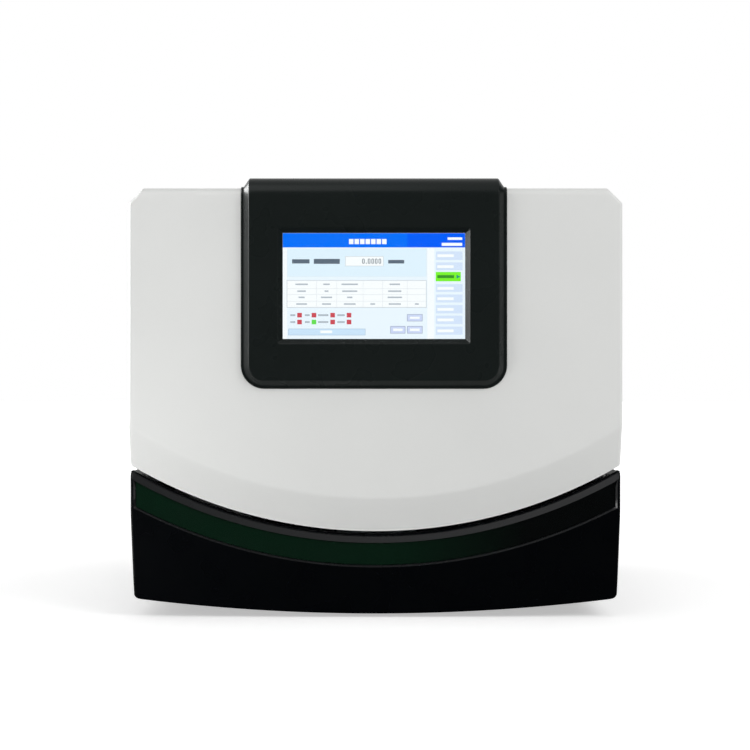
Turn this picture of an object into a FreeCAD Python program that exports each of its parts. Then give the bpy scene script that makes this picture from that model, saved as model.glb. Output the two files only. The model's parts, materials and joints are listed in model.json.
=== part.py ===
import FreeCAD, Part
import math
import operator
import os
import Sketcher
from FreeCAD import Placement, Rotation, Vector

# Bench-top total organic carbon analyzer of the catalytic combustion kind.
# Frame: the front faces -Y, +X is to the right seen from the front, +Z is up. Millimetres.
# The origin lies on the bench under the middle of the instrument.

SIZES = {
    # whole instrument
    "overall_depth": 450,
    "top_height": 366,
    "rear_reach": 26,
    "sheet": 2,
    "slip": 0.3,
    "running": 0.05,

    # front cover, a white moulded shell with a curved lower edge and a slanted band above it
    "cover_width": 420,
    "cover_depth": 66,
    "cover_wall": 3,
    "corner_cut": 13,
    "cover_low": 73.2,
    "curve_radius": 417,
    "band_height": 29,
    "band_depth": 12,
    "cover_round": 3,
    "cover_corner": 3.5,
    "cover_hole_margin": 16,

    # screen bezel, a black moulding that folds over the top of the cover
    "bezel_width": 226,
    "bezel_shift": -1.3,
    "bezel_proud": 8.5,
    "bezel_tall": 170.8,
    "bezel_wrap": 58,
    "bezel_roll": 15,
    "bezel_corner": 20,
    "bezel_bevel": 7,
    "screen_width": 154.5,
    "screen_tall": 89.7,
    "screen_drop": 83.7,
    "window_bevel": 4.3,
    "window_lip": 0.7,
    "glass_margin": 5,
    "glass_thick": 1.1,
    "module_margin": 4.6,
    "bracket_margin": 11,
    "bracket_opening": 24,
    "standoff_radius": 3,

    # base, a black moulding with a bead, a gloss strip and a curved foot line
    "base_setback": 10,
    "base_gap": 3,
    "base_top_inset": 0.4,
    "base_bottom_inset": 3.5,
    "base_wall": 4.5,
    "base_low": 2.8,
    "base_sag": 13,
    "base_corner": 4,
    "base_top_corner": 2,
    "bead_round": 5,
    "lip_depth": 14,
    "strip_from": 9.8,
    "strip_to": 28.9,
    "strip_end": 4.5,
    "strip_recess": 2.5,
    "strip_thick": 1.2,
    "strip_bevel": 1.8,

    # tray and feet
    "tray_height": 22,
    "tray_half": 196,
    "tray_front_gap": 10,
    "tray_flange": 36,
    "foot_radius": 14,
    "foot_taper": 2,
    "foot_pad": 3,
    "foot_clear": 1,
    "foot_x": 150,
    "foot_front_y": -95,
    "foot_rear_y": 160,

    # lid and side panels
    "lid_depth": 22,
    "lid_wall": 2.5,
    "lid_gap": 0.6,
    "panel_rest": 15,
    "panel_flange": 22,
    "panel_flange_gap": 1.1,
    "louvre_count": 10,
    "louvre_pitch": 10,
    "louvre_wide": 4,
    "louvre_tall": 60,
    "louvre_ahead": 152,
    "louvre_left_drop": 99,
    "louvre_right_drop": 169,

    # hinges at the rear of the lid
    "hinge_x": 130,
    "hinge_wide": 40,
    "hinge_knuckle": 4.5,
    "hinge_pin": 2,
    "hinge_leaf": 1.5,
    "hinge_leaf_tall": 22,
    "hinge_tab": 13,
    "hinge_off": 0.5,
    "pin_head_inset": 1,
    "pin_head_thick": 1,

    # cooling fan on the rear panel
    "fan_x": 110,
    "fan_drop": 111,
    "fan_side": 80,
    "fan_depth": 25,
    "fan_bore": 38,
    "fan_hub": 17,
    "fan_tip": 36.5,
    "fan_blades": 7,
    "fan_blade_thick": 1.6,
    "fan_blade_chord": 19,
    "fan_blade_pitch": 38,
    "fan_root": 15,
    "fan_end_gap": 1,
    "fan_shaft": 2,
    "fan_spider": 3,
    "fan_strut": 5,
    "guard_thick": 2,
    "guard_ring": 2.4,
    "guard_rings": 3,
    "guard_reach": 50,

    # mains inlet with switch and fuse drawer
    "inlet_x": 150,
    "inlet_z": 80,
    "inlet_wide": 50,
    "inlet_tall": 66,
    "inlet_flange": 3,
    "inlet_body_wide": 44,
    "inlet_body_tall": 58,
    "inlet_body_deep": 34,
    "socket_wide": 24.6,
    "socket_tall": 16.6,
    "socket_deep": 18,
    "socket_drop": 15,
    "socket_cut": 5,
    "blade_wide": 2,
    "blade_tall": 4,
    "blade_long": 12.5,
    "blade_spread": 7,
    "blade_rise": 4,
    "drawer_wide": 28,
    "drawer_tall": 9,
    "drawer_deep": 24,
    "drawer_rise": 5.5,
    "drawer_grip": 1.5,
    "rocker_wide": 20,
    "rocker_tall": 14,
    "rocker_deep": 9,
    "rocker_rise": 21,
    "rocker_tilt": 8,
    "rocker_pin": 1.5,
    "rocker_crown": 2.4,
    "rocker_pin_long": 26,
    "rocker_under": 2,
    "rocker_above": 1,

    # fittings and port on the rear panel
    "fitting_x": -150,
    "sample_z": 180,
    "gas_z": 150,
    "exhaust_z": 120,
    "drain_z": 90,
    "fitting_thread": 5,
    "fitting_inside": 10,
    "nut_radius": 8,
    "nut_thick": 5,
    "gland_radius": 7,
    "gland_long": 12,
    "gland_step": 4,
    "gas_bore": 3.05,
    "sample_bore": 1.65,
    "drain_pin": 4,
    "drain_collar": 6,
    "port_x": 60,
    "port_z": 80,
    "port_wide": 31,
    "port_tall": 12.5,
    "port_shell_wide": 17,
    "port_shell_tall": 8.5,
    "port_shell_long": 6,
    "port_deep": 10,
    "port_wall": 1,

    # bulkhead between the furnace bay and the measuring bay
    "bulkhead_x": -60,
    "bulkhead_ahead": 257,
    "bulkhead_rear_gap": 7,
    "bulkhead_drop": 44,
    "bulkhead_foot": 15,
    "pass_hole": 4,
    "drain_pass_drop": 12,

    # furnace with its combustion tube
    "furnace_x": -130,
    "furnace_ahead": 87,
    "stand_side": 96,
    "stand_post": 4,
    "stand_height": 26,
    "jacket_radius": 55,
    "jacket_wall": 1.5,
    "jacket_tall": 182,
    "jacket_hole": 20,
    "insulation_bore": 28,
    "sleeve_bore": 16,
    "tube_radius": 12.5,
    "tube_wall": 2,
    "tube_neck": 4,
    "tube_neck_long": 12,
    "neck_clear": 1,
    "bed_from": 34,
    "bed_tall": 92,
    "wool_tall": 8,
    "head_radius": 20,
    "head_tall": 26,
    "head_room": 29.5,
    "head_overlap": 12,
    "head_cap": 12,
    "head_cap_tall": 8,
    "head_port": 3,
    "head_port_long": 12,

    # condensing and drying of the gas
    "condenser_x": -120,
    "condenser_ahead": 182,
    "condenser_core": 8,
    "condenser_sump": 12,
    "condenser_foot": 30,
    "condenser_fin": 18,
    "condenser_fin_thick": 3,
    "condenser_fins": 5,
    "condenser_pitch": 16,
    "separator_x": -85,
    "separator_ahead": 212,
    "separator_radius": 12,
    "separator_foot": 3,
    "separator_low": 18,
    "separator_tall": 70,
    "cooler_ahead": 217,
    "cooler_z": 120,
    "cooler_side": 42,
    "cooler_block": 10,
    "cooler_plate": 4,
    "cooler_fin_long": 18,
    "cooler_fin_thick": 1.6,
    "cooler_fins": 7,
    "scrubber_ahead": 135,
    "scrubber_z": 170,
    "scrubber_radius": 9,
    "scrubber_cap": 11,
    "scrubber_cap_tall": 10,
    "scrubber_tall": 92,
    "scrubber_off": 15,
    "clip_tall": 10,
    "filter_ahead": 95,
    "filter_z": 225,
    "filter_radius": 13,
    "filter_thick": 8,
    "filter_neck": 3,
    "filter_neck_long": 10,

    # infrared bench and its shelf
    "shelf_left": -42,
    "shelf_ahead": 105,
    "shelf_deep": 56,
    "shelf_height": 82,
    "bench_left": -24,
    "bench_long": 190,
    "bench_block": 30,
    "bench_side": 46,
    "bench_tube": 14,
    "bench_port": 3,
    "bench_port_long": 9,
    "bench_port_off": 9,

    # syringe pump
    "pump_x": 82,
    "pump_ahead": 277,
    "pump_wide": 86,
    "pump_deep": 36,
    "pump_back": 3,
    "pump_tall": 234,
    "pump_block": 12,
    "motor_side": 42,
    "motor_tall": 40,
    "motor_corner": 4,
    "motor_shaft": 2.5,
    "motor_lift": 2,
    "syringe_off": -24,
    "screw_off": 24,
    "rod_radius": 3,
    "lead_radius": 4,
    "carriage_tall": 14,
    "carriage_deep": 28,
    "carriage_rise": 6,
    "carriage_inset": 6,
    "barrel_radius": 12,
    "barrel_wall": 2,
    "barrel_tall": 84,
    "barrel_rim": 2,
    "plunger_rod": 3,
    "plunger_head": 8,
    "plunger_in": 6,
    "valve_side": 34,
    "valve_tall": 34,
    "valve_shaft": 5,
    "valve_bore_deep": 11,
    "valve_disc": 13,
    "valve_disc_thick": 8,
    "valve_flute": 2,
    "valve_flutes": 6,
    "valve_port": 3,
    "valve_port_long": 8,

    # bottles and vessels
    "bottle_x": -150,
    "bottle_ahead": 287,
    "bottle_radius": 34,
    "bottle_tall": 106,
    "bottle_shoulder": 16,
    "bottle_neck": 14,
    "bottle_neck_tall": 16,
    "bottle_wall": 1.6,
    "bottle_floor": 3,
    "cap_radius": 17,
    "cap_tall": 18,
    "cap_drop": 13,
    "vessel_x": -88,
    "vessel_ahead": 282,
    "vessel_radius": 13,
    "vessel_wall": 1.5,
    "vessel_tall": 150,
    "vessel_foot": 17,
    "vessel_foot_tall": 10,
    "vessel_plug": 6,
    "vessel_cap_tall": 14,
    "vessel_cap_lip": 1,

    # drain pump
    "drain_x": 163,
    "drain_ahead": 335,
    "drain_head_z": 72,
    "ring_radius": 30,
    "ring_bore": 23,
    "ring_deep": 24,
    "back_thick": 3,
    "drain_motor": 18,
    "drain_motor_long": 46,
    "drain_shaft": 4,
    "drain_bore_deep": 9,
    "rotor_gap": 1,
    "drain_foot": 32,
    "roller_radius": 5,
    "roller_orbit": 15,
    "roller_pin": 1.5,
    "roller_count": 3,
    "cheek_radius": 19,
    "cheek_thick": 2,
    "rotor_hub": 6,

    # carrier gas regulator
    "regulator_ahead": 25,
    "regulator_z": 200,
    "regulator_side": 28,
    "regulator_tall": 30,
    "regulator_off": 18,
    "bonnet_radius": 12,
    "bonnet_tall": 12,
    "stem_radius": 3,
    "stem_long": 6,
    "stem_in_knob": 2,
    "knob_radius": 13,
    "knob_tall": 16,
    "knob_flute": 1.5,
    "knob_flutes": 8,

    # electronics
    "supply_x": 62,
    "supply_ahead": 145,
    "supply_long": 128,
    "supply_deep": 96,
    "supply_tall": 40,
    "supply_slots": 6,
    "supply_slot": 3,
    "board_x": 20,
    "board_ahead": 245,
    "board_long": 168,
    "board_deep": 92,
    "board_thick": 1.6,
    "board_lift": 10,
    "board_inset": 6,
    "chip_side": 26,
    "chip_thick": 3,
    "heatsink_tall": 14,
    "connector_long": 30,
    "connector_deep": 8,
    "connector_tall": 10,
    "capacitor_radius": 6,
    "capacitor_tall": 16,

    # tubing
    "line_radius": 2,
    "line_bend": 10,
    "line_rise": 16,
    "riser_off": 15,
}


class Size:
    """A number together with the sheet formula that gives it, so what is worked out stays bound."""

    def __init__(self, number, formula):
        self.number = float(number)
        self.formula = formula

    def __add__(self, other):
        return worked_out(self, "+", other)

    def __radd__(self, other):
        return worked_out(other, "+", self)

    def __sub__(self, other):
        return worked_out(self, "-", other)

    def __rsub__(self, other):
        return worked_out(other, "-", self)

    def __mul__(self, other):
        return worked_out(self, "*", other)

    def __rmul__(self, other):
        return worked_out(other, "*", self)

    def __truediv__(self, other):
        return worked_out(self, "/", other)

    def __neg__(self):
        return worked_out(0, "-", self)


OPERATIONS = {"+": operator.add, "-": operator.sub, "*": operator.mul, "/": operator.truediv}


def sized(value):
    """The value as a Size, also where it is a plain number."""
    return value if isinstance(value, Size) else Size(value, repr(float(value)))


def worked_out(left, sign, right):
    left = sized(left)
    right = sized(right)
    return Size(OPERATIONS[sign](left.number, right.number), f"({left.formula} {sign} {right.formula})")


def root(value):
    return Size(math.sqrt(value.number), f"sqrt({value.formula})")


class Sizes:
    """The sheet's cells by their aliases, as in size.cover_width."""

    def __init__(self, table):
        for alias, number in table.items():
            setattr(self, alias, Size(number, f"Sizes.{alias}"))


doc = FreeCAD.newDocument("Analyzer")
sheet = doc.addObject("Spreadsheet::Sheet", "Sizes")
for row, (alias, number) in enumerate(SIZES.items(), 1):
    sheet.set(f"A{row}", alias)
    sheet.set(f"B{row}", str(number))
    sheet.setAlias(f"B{row}", alias)
doc.recompute()
size = Sizes(SIZES)

# Places that several pieces share.
HALF = size.cover_width / 2
COVER_FACE = size.bezel_proud - size.overall_depth / 2
COVER_BACK = COVER_FACE + size.cover_depth
CURVE_CENTRE = size.cover_low + size.curve_radius
BASE_FACE = COVER_FACE + size.base_setback
REAR_FACE = size.overall_depth / 2 - size.rear_reach
REAR_INNER = REAR_FACE - size.sheet
BEZEL_LOW = size.top_height - size.bezel_tall
SCREEN_MID = size.top_height - size.screen_drop
LID_SEAT = size.top_height - size.lid_depth
LID_FRONT = COVER_BACK + size.lid_gap
TRAY_TOP = size.tray_height + size.sheet
HINGE_Y = REAR_FACE + size.hinge_knuckle + size.hinge_off
BULKHEAD_FACE = size.bulkhead_x
FAN_Z = size.top_height - size.fan_drop
STAND_TOP = TRAY_TOP + size.stand_height
HEAD_TOP = size.top_height - size.lid_wall - size.head_room
TUBE_TALL = HEAD_TOP - size.head_cap_tall - size.head_tall + size.head_overlap - STAND_TOP
MOTOR_LOW = TRAY_TOP + size.motor_lift
PUMP_DECK = MOTOR_LOW + size.motor_tall + size.pump_block
SYRINGE_X = size.pump_x + size.syringe_off
SCREW_X = size.pump_x + size.screw_off
PUMP_TOP = TRAY_TOP + size.pump_tall

# What stands inside keeps its distance ahead of the rear panel.
FURNACE_Y = REAR_INNER - size.furnace_ahead
CONDENSER_Y = REAR_INNER - size.condenser_ahead
SEPARATOR_Y = REAR_INNER - size.separator_ahead
COOLER_Y = REAR_INNER - size.cooler_ahead
SCRUBBER_Y = REAR_INNER - size.scrubber_ahead
FILTER_Y = REAR_INNER - size.filter_ahead
PUMP_Y = REAR_INNER - size.pump_ahead
REGULATOR_Y = REAR_INNER - size.regulator_ahead

TURN = {
    "X": Rotation(Vector(0, 1, 0), 90),
    "Y": Rotation(Vector(1, 0, 0), -90),
    "Z": Rotation(),
}
NODES = {}


def node(name, piece):
    """Names a finished piece. The name is also that of its file."""
    piece.Label = name
    NODES[name] = piece
    return piece


def drive(piece, prop, value):
    piece.setExpression(prop, sized(value).formula)


def place(piece, x, y, z, turn=TURN["Z"]):
    piece.Placement = Placement(Vector(), turn)
    for axis, value in zip("xyz", (x, y, z)):
        drive(piece, f"Placement.Base.{axis}", value)
    return piece


def box(x, y, z, length, width, height):
    """A block from its lowest corner."""
    block = doc.addObject("Part::Box", "Block")
    drive(block, "Length", length)
    drive(block, "Width", width)
    drive(block, "Height", height)
    return place(block, x, y, z)


def rod(x, y, z, radius, height, along="Z"):
    """A cylinder from the middle of its first end."""
    cylinder = doc.addObject("Part::Cylinder", "Rod")
    drive(cylinder, "Radius", radius)
    drive(cylinder, "Height", height)
    return place(cylinder, x, y, z, TURN[along])


def hexagon(x, y, z, radius, height, along="Y"):
    """A hexagonal nut blank, its radius taken at the corners."""
    prism = doc.addObject("Part::Prism", "Hexagon")
    prism.Polygon = 6
    drive(prism, "Circumradius", radius)
    drive(prism, "Height", height)
    return place(prism, x, y, z, TURN[along])


def fuse(*pieces):
    whole = doc.addObject("Part::MultiFuse", "Joined")
    whole.Shapes = list(pieces)
    return whole


def cut(base, *tools):
    result = doc.addObject("Part::Cut", "Opened")
    result.Base = base
    result.Tool = tools[0] if len(tools) == 1 else fuse(*tools)
    return result


def group(*pieces):
    whole = doc.addObject("Part::Compound", "Group")
    whole.Links = list(pieces)
    return whole


def pipe(x, y, z, radius, bore, height, along="Z"):
    """A round sleeve with a bore right through."""
    return cut(rod(x, y, z, radius, height, along), rod(x, y, z, bore, height, along))


def new_body(name="Body"):
    return doc.addObject("PartDesign::Body", name)


def arc_between(start, finish, radius):
    """The short arc between two points. A positive radius has its centre to the left of the way."""
    way = finish - start
    left = Vector(-way.y, way.x, 0).normalize()
    reach = math.sqrt(radius ** 2 - (way.Length / 2) ** 2)
    centre = (start + finish) / 2 + left * math.copysign(reach, radius)
    first, last = (start, finish) if radius > 0 else (finish, start)
    turns = [math.atan2(end.y - centre.y, end.x - centre.x) for end in (first, last)]
    if turns[1] < turns[0]:
        turns[1] += 2 * math.pi
    return Part.ArcOfCircle(Part.Circle(centre, Vector(0, 0, 1), abs(radius)), turns[0], turns[1])


def draw(sketch, points):
    """Draws one closed outline and ties every corner and radius to the sheet.

    A point is (across, up), or (across, up, radius) where an arc leaves it.
    """
    first = sketch.GeometryCount
    count = len(points)
    ends = []
    for index, point in enumerate(points):
        start, finish = (
            Vector(sized(corner[0]).number, sized(corner[1]).number, 0)
            for corner in (point, points[(index + 1) % count])
        )
        if len(point) == 3:
            radius = sized(point[2])
            edge = sketch.addGeometry(arc_between(start, finish, radius.number), False)
            ends.append((1, 2) if radius.number > 0 else (2, 1))
            rule = sketch.addConstraint(Sketcher.Constraint("Radius", edge, abs(radius.number)))
            drive(sketch, f"Constraints[{rule}]", radius if radius.number > 0 else -radius)
        else:
            sketch.addGeometry(Part.LineSegment(start, finish), False)
            ends.append((1, 2))
    for index, point in enumerate(points):
        follower = (index + 1) % count
        pair = (first + index, ends[index][1], first + follower, ends[follower][0])
        sketch.addConstraint(Sketcher.Constraint("Coincident", *pair))
        for kind, value in zip(("DistanceX", "DistanceY"), point):
            held = Sketcher.Constraint(kind, -1, 1, first + index, ends[index][0], sized(value).number)
            rule = sketch.addConstraint(held)
            drive(sketch, f"Constraints[{rule}]", value)


def sketch_on(body, plane, level, points):
    """A sketch on one of the body's origin planes, moved to level along the axis across it."""
    sketch = body.newObject("Sketcher::SketchObject", "Sketch")
    face = [item for item in body.Origin.OriginFeatures if item.Role == plane + "_Plane"][0]
    sketch.AttachmentSupport = (face, [""])
    sketch.MapMode = "FlatFace"
    drive(sketch, "AttachmentOffset.Base.z", -sized(level) if plane == "XZ" else level)
    draw(sketch, points)
    return sketch


def pad(body, plane, level, points, length):
    """Material added from level towards the positive end of the axis across the plane."""
    feature = body.newObject("PartDesign::Pad", "Pad")
    feature.Profile = sketch_on(body, plane, level, points)
    feature.Reversed = plane == "XZ"
    drive(feature, "Length", length)
    return feature


def pocket(body, plane, level, points, length):
    """Material taken away from level towards the positive end of the axis across the plane."""
    feature = body.newObject("PartDesign::Pocket", "Pocket")
    feature.Profile = sketch_on(body, plane, level, points)
    feature.Reversed = plane != "XZ"
    drive(feature, "Length", length)
    return feature


def turned(x, y, z, profile, along="Z"):
    """A turned solid. The profile's points are (radius, height) about the axis."""
    body = new_body("Turned")
    feature = body.newObject("PartDesign::Revolution", "Revolution")
    feature.Profile = sketch_on(body, "XZ", 0, profile)
    feature.ReferenceAxis = (feature.Profile[0], ["V_Axis"])
    feature.Angle = 360
    return place(body, x, y, z, TURN[along])


def is_arc(edge):
    return edge.Curve.TypeId == "Part::GeomCircle"


def is_line(edge):
    return edge.Curve.TypeId == "Part::GeomLine"


def ends_at(edge, **levels):
    """Whether both ends of the edge lie at the levels given for x, y or z."""
    near = 0.01
    return all(
        abs(getattr(end.Point, axis) - sized(level).number) < near
        for end in edge.Vertexes
        for axis, level in levels.items()
    )


def edges_of(feature, test):
    doc.recompute()
    edges = enumerate(feature.Shape.Edges, 1)
    return [f"Edge{index}" for index, edge in edges if not edge.Degenerated and test(edge)]


def rounded(body, feature, test, radius):
    result = body.newObject("PartDesign::Fillet", "Rounding")
    result.Base = (feature, edges_of(feature, test))
    drive(result, "Radius", radius)
    return result


def bevelled(body, feature, test, first, second=None):
    result = body.newObject("PartDesign::Chamfer", "Bevel")
    result.Base = (feature, edges_of(feature, test))
    drive(result, "Size", first)
    if second is not None:
        result.ChamferType = "Two distances"
        drive(result, "Size2", second)
    return result


def block_outline(left, low, right, high):
    return [(left, low), (right, low), (right, high), (left, high)]


def tube_along(points, radius, bend):
    """A round tube of straight runs joined by arcs that touch them, each arc a turned disc."""
    corners = [Vector(*(sized(value).number for value in point)) for point in points]
    solids = []
    here = corners[0]
    for before, corner, after in zip(corners, corners[1:], corners[2:]):
        back = (before - corner).normalize()
        ahead = (after - corner).normalize()
        turn = math.pi - back.getAngle(ahead)
        reach = bend.number * math.tan(turn / 2)
        first = corner + back * reach
        solids.append(Part.makeCylinder(radius.number, (first - here).Length, here, -back))
        centre = corner + (back + ahead).normalize() * (bend.number / math.cos(turn / 2))
        disc = Part.Face(Part.Wire([Part.makeCircle(radius.number, first, -back)]))
        solids.append(disc.revolve(centre, ahead.cross(back), math.degrees(turn)))
        here = corner + ahead * reach
    last = corners[-1] - here
    solids.append(Part.makeCylinder(radius.number, last.Length, here, last))
    tube = doc.addObject("Part::Feature", "Tube")
    tube.Shape = solids[0].multiFuse(solids[1:])
    return tube


# Outer shell


def curve_height(radius, across):
    """Height of the shared lower curve, or of one alongside it, at a distance from the middle."""
    return CURVE_CENTRE - root(radius * radius - across * across)


def cover_outline(inset, rise):
    """The cover's front outline, set in by a wall, with its lower curve raised by rise."""
    half = HALF - inset
    radius = size.curve_radius - rise
    top = size.top_height - inset
    cut_off = size.corner_cut - inset * (2 - math.sqrt(2))
    low = curve_height(radius, half)
    return [
        (-half, low, radius),
        (half, low),
        (half, top - cut_off),
        (half - cut_off, top),
        (cut_off - half, top),
        (-half, top - cut_off),
    ]


def window_outline(margin):
    half = size.screen_width / 2 + margin
    low = SCREEN_MID - size.screen_tall / 2 - margin
    high = low + size.screen_tall + 2 * margin
    return block_outline(size.bezel_shift - half, low, size.bezel_shift + half, high)


def make_front_cover():
    body = new_body("front_cover")
    wall = size.cover_wall
    shell = pad(body, "XZ", COVER_FACE, cover_outline(0, 0), size.cover_depth)
    band = bevelled(
        body,
        shell,
        lambda edge: is_arc(edge) and ends_at(edge, y=COVER_FACE),
        size.band_depth,
        size.band_height,
    )
    top_edge = rounded(
        body,
        band,
        lambda edge: is_line(edge) and ends_at(edge, y=COVER_FACE, z=size.top_height),
        size.bezel_roll - size.bezel_proud,
    )
    side_edges = rounded(
        body,
        top_edge,
        lambda edge: is_line(edge)
        and ends_at(edge, y=COVER_FACE)
        and abs(edge.Vertexes[0].Z - edge.Vertexes[1].Z) > 1,
        size.cover_round,
    )
    rounded(
        body,
        side_edges,
        lambda edge: is_line(edge) and ends_at(edge, z=curve_height(size.curve_radius, HALF)),
        size.cover_corner,
    )
    behind_band = COVER_FACE + size.band_depth + wall
    pocket(body, "XZ", behind_band, cover_outline(wall, wall), COVER_BACK - behind_band)
    above_band = cover_outline(wall, size.band_height + wall)
    pocket(body, "XZ", COVER_FACE + wall, above_band, size.cover_depth - wall)
    pocket(body, "XZ", COVER_FACE, window_outline(size.cover_hole_margin), 2 * wall)
    node("front_cover", body)


def make_screen_bezel():
    """Front plate and top plate in one, rolled over the top edge and bevelled all round."""
    body = new_body("screen_bezel")
    front = COVER_FACE - size.bezel_proud
    top = size.top_height + size.bezel_proud
    half = size.bezel_width / 2
    roll = size.bezel_roll
    inner_roll = roll - size.bezel_proud
    profile = [
        (front, BEZEL_LOW),
        (COVER_FACE, BEZEL_LOW),
        (COVER_FACE, size.top_height - inner_roll, -inner_roll),
        (COVER_FACE + inner_roll, size.top_height),
        (COVER_FACE + size.bezel_wrap, size.top_height),
        (COVER_FACE + size.bezel_wrap, top),
        (front + roll, top, roll),
        (front, top - roll),
    ]
    plate = pad(body, "YZ", size.bezel_shift - half, profile, size.bezel_width)
    lower_corners = rounded(
        body,
        plate,
        lambda edge: ends_at(edge, z=BEZEL_LOW)
        and is_line(edge)
        and abs(edge.Vertexes[0].Y - edge.Vertexes[1].Y) > 1,
        size.bezel_corner,
    )

    def on_outer_rim(edge):
        """The rim of the proud face: round the bottom, up both sides and back along the top plate."""
        middle = edge.valueAt((edge.FirstParameter + edge.LastParameter) / 2)
        if abs(middle.x - size.bezel_shift.number) < half.number - 0.01:
            return ends_at(edge, y=front) and middle.z < SCREEN_MID.number
        on_front = ends_at(edge, y=front)
        on_top = ends_at(edge, z=top)
        outer_roll = is_arc(edge) and abs(edge.Curve.Radius - roll.number) < 0.01
        return on_front or on_top or outer_roll

    bevelled(body, lower_corners, on_outer_rim, size.bezel_bevel)
    opened = pocket(body, "XZ", front, window_outline(0), size.bezel_proud)
    bevelled(
        body,
        opened,
        lambda edge: ends_at(edge, y=front)
        and all(
            abs(end.X - size.bezel_shift.number) < (size.screen_width / 2).number + 0.01
            and abs(end.Z - SCREEN_MID.number) < (size.screen_tall / 2).number + 0.01
            for end in edge.Vertexes
        ),
        size.window_bevel,
    )
    seat = front + size.window_bevel + size.window_lip
    pocket(body, "XZ", seat, window_outline(size.glass_margin + size.slip), COVER_FACE - seat)
    node("screen_bezel", body)


def make_display():
    """Touch glass, display module and the bracket that holds both against the bezel."""
    glass_y = COVER_FACE - size.bezel_proud + size.window_bevel + size.window_lip
    glass = new_body("touch_glass")
    pad(glass, "XZ", glass_y, window_outline(size.glass_margin), size.glass_thick)
    node("touch_glass", glass)
    module_y = glass_y + size.glass_thick
    bracket_y = COVER_FACE + size.cover_wall
    module = new_body("lcd_module")
    pad(module, "XZ", module_y, window_outline(size.module_margin), bracket_y - module_y)
    node("lcd_module", module)
    plate = new_body("display_bracket")
    reach = size.cover_hole_margin + size.bracket_margin
    pad(plate, "XZ", bracket_y, window_outline(reach), size.sheet)
    pocket(plate, "XZ", bracket_y, window_outline(-size.bracket_opening), size.sheet)
    node("display_bracket", plate)


def base_half(height_share):
    """Half the base's width, which narrows from its upper corners to its lower ones."""
    return HALF - size.base_top_inset - height_share * (size.base_bottom_inset - size.base_top_inset)


def base_outline(inset):
    """The base's front outline between the cover's curve above and the foot curve below."""
    upper = base_half(0) - inset
    lower = base_half(1) - inset
    sag_radius = (base_half(1) * base_half(1) + size.base_sag * size.base_sag) / (2 * size.base_sag)
    radius = size.curve_radius + size.base_gap + inset
    low = size.base_low + size.base_sag + inset
    return [
        (-lower, low, sag_radius),
        (lower, low),
        (upper, curve_height(radius, upper), -radius),
        (-upper, curve_height(radius, upper)),
    ]


def strip_outline(clearance):
    """The gloss strip, concentric with the cover's lower edge and cut off square at its ends."""
    half = base_half(0) - size.strip_end - clearance
    upper = size.curve_radius + size.strip_from + clearance
    lower = size.curve_radius + size.strip_to - clearance
    return [
        (-half, curve_height(lower, half), lower),
        (half, curve_height(lower, half)),
        (half, curve_height(upper, half), -upper),
        (-half, curve_height(upper, half)),
    ]


def make_base_shell():
    body = new_body("base_shell")
    wall = size.base_wall
    outline = base_outline(0)
    shell = pad(body, "XZ", BASE_FACE, outline, REAR_INNER - BASE_FACE)
    recess = pocket(body, "XZ", BASE_FACE, strip_outline(0), size.strip_recess)
    half = (base_half(0) - size.strip_end).number
    lower = (size.curve_radius + size.strip_to).number
    mouth = bevelled(
        body,
        recess,
        lambda edge: ends_at(edge, y=BASE_FACE)
        and (
            (is_line(edge) and all(abs(abs(end.X) - half) < 0.01 for end in edge.Vertexes))
            or (is_arc(edge) and abs(edge.Curve.Radius - lower) < 0.01)
        ),
        size.strip_bevel,
    )
    gap_radius = (size.curve_radius + size.base_gap).number
    bead = rounded(
        body,
        mouth,
        lambda edge: ends_at(edge, y=BASE_FACE)
        and is_arc(edge)
        and abs(edge.Curve.Radius - gap_radius) < 0.01,
        size.bead_round,
    )
    low_z = outline[0][1]
    low_corners = rounded(
        body,
        bead,
        lambda edge: ends_at(edge, z=low_z) and is_line(edge),
        size.base_corner,
    )
    rounded(
        body,
        low_corners,
        lambda edge: ends_at(edge, z=outline[2][1]) and is_line(edge),
        size.base_top_corner,
    )
    behind_lip = BASE_FACE + size.lip_depth
    pocket(body, "XZ", BASE_FACE + wall, base_outline(wall), size.lip_depth)
    inner = base_outline(wall)
    open_top = HALF + size.cover_low
    hollow = [inner[0], inner[1], inner[2][:2], (inner[2][0], open_top), (-inner[2][0], open_top), inner[3]]
    pocket(body, "XZ", behind_lip, hollow, REAR_INNER - behind_lip)
    holes = [
        rod(x, y, 0, size.foot_radius + size.foot_clear, size.tray_height)
        for x in (-size.foot_x, size.foot_x)
        for y in (size.foot_front_y, size.foot_rear_y)
    ]
    node("base_shell", cut(body, *holes))
    strip = new_body("gloss_strip")
    strip_y = BASE_FACE + size.strip_recess - size.strip_thick
    pad(strip, "XZ", strip_y, strip_outline(size.slip), size.strip_thick)
    node("gloss_strip", strip)


def make_tray_and_feet():
    front = BASE_FACE + size.base_wall + size.tray_front_gap
    depth = REAR_INNER - front - size.slip
    half = size.tray_half
    floor = box(-half, front, size.tray_height, 2 * half, depth, size.sheet)
    sides = [
        box(x, front, size.tray_height, size.sheet, depth, size.tray_flange)
        for x in (-half, half - size.sheet)
    ]
    face = box(-half, front, size.tray_height, 2 * half, size.sheet, size.tray_flange)
    node("base_tray", fuse(floor, face, *sides))
    profile = [
        (0, 0),
        (size.foot_radius - size.foot_taper, 0),
        (size.foot_radius, size.foot_pad),
        (size.foot_radius, size.tray_height),
        (0, size.tray_height),
    ]
    feet = [
        turned(x, y, 0, profile)
        for x in (-size.foot_x, size.foot_x)
        for y in (size.foot_front_y, size.foot_rear_y)
    ]
    node("feet", group(*feet))


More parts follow.
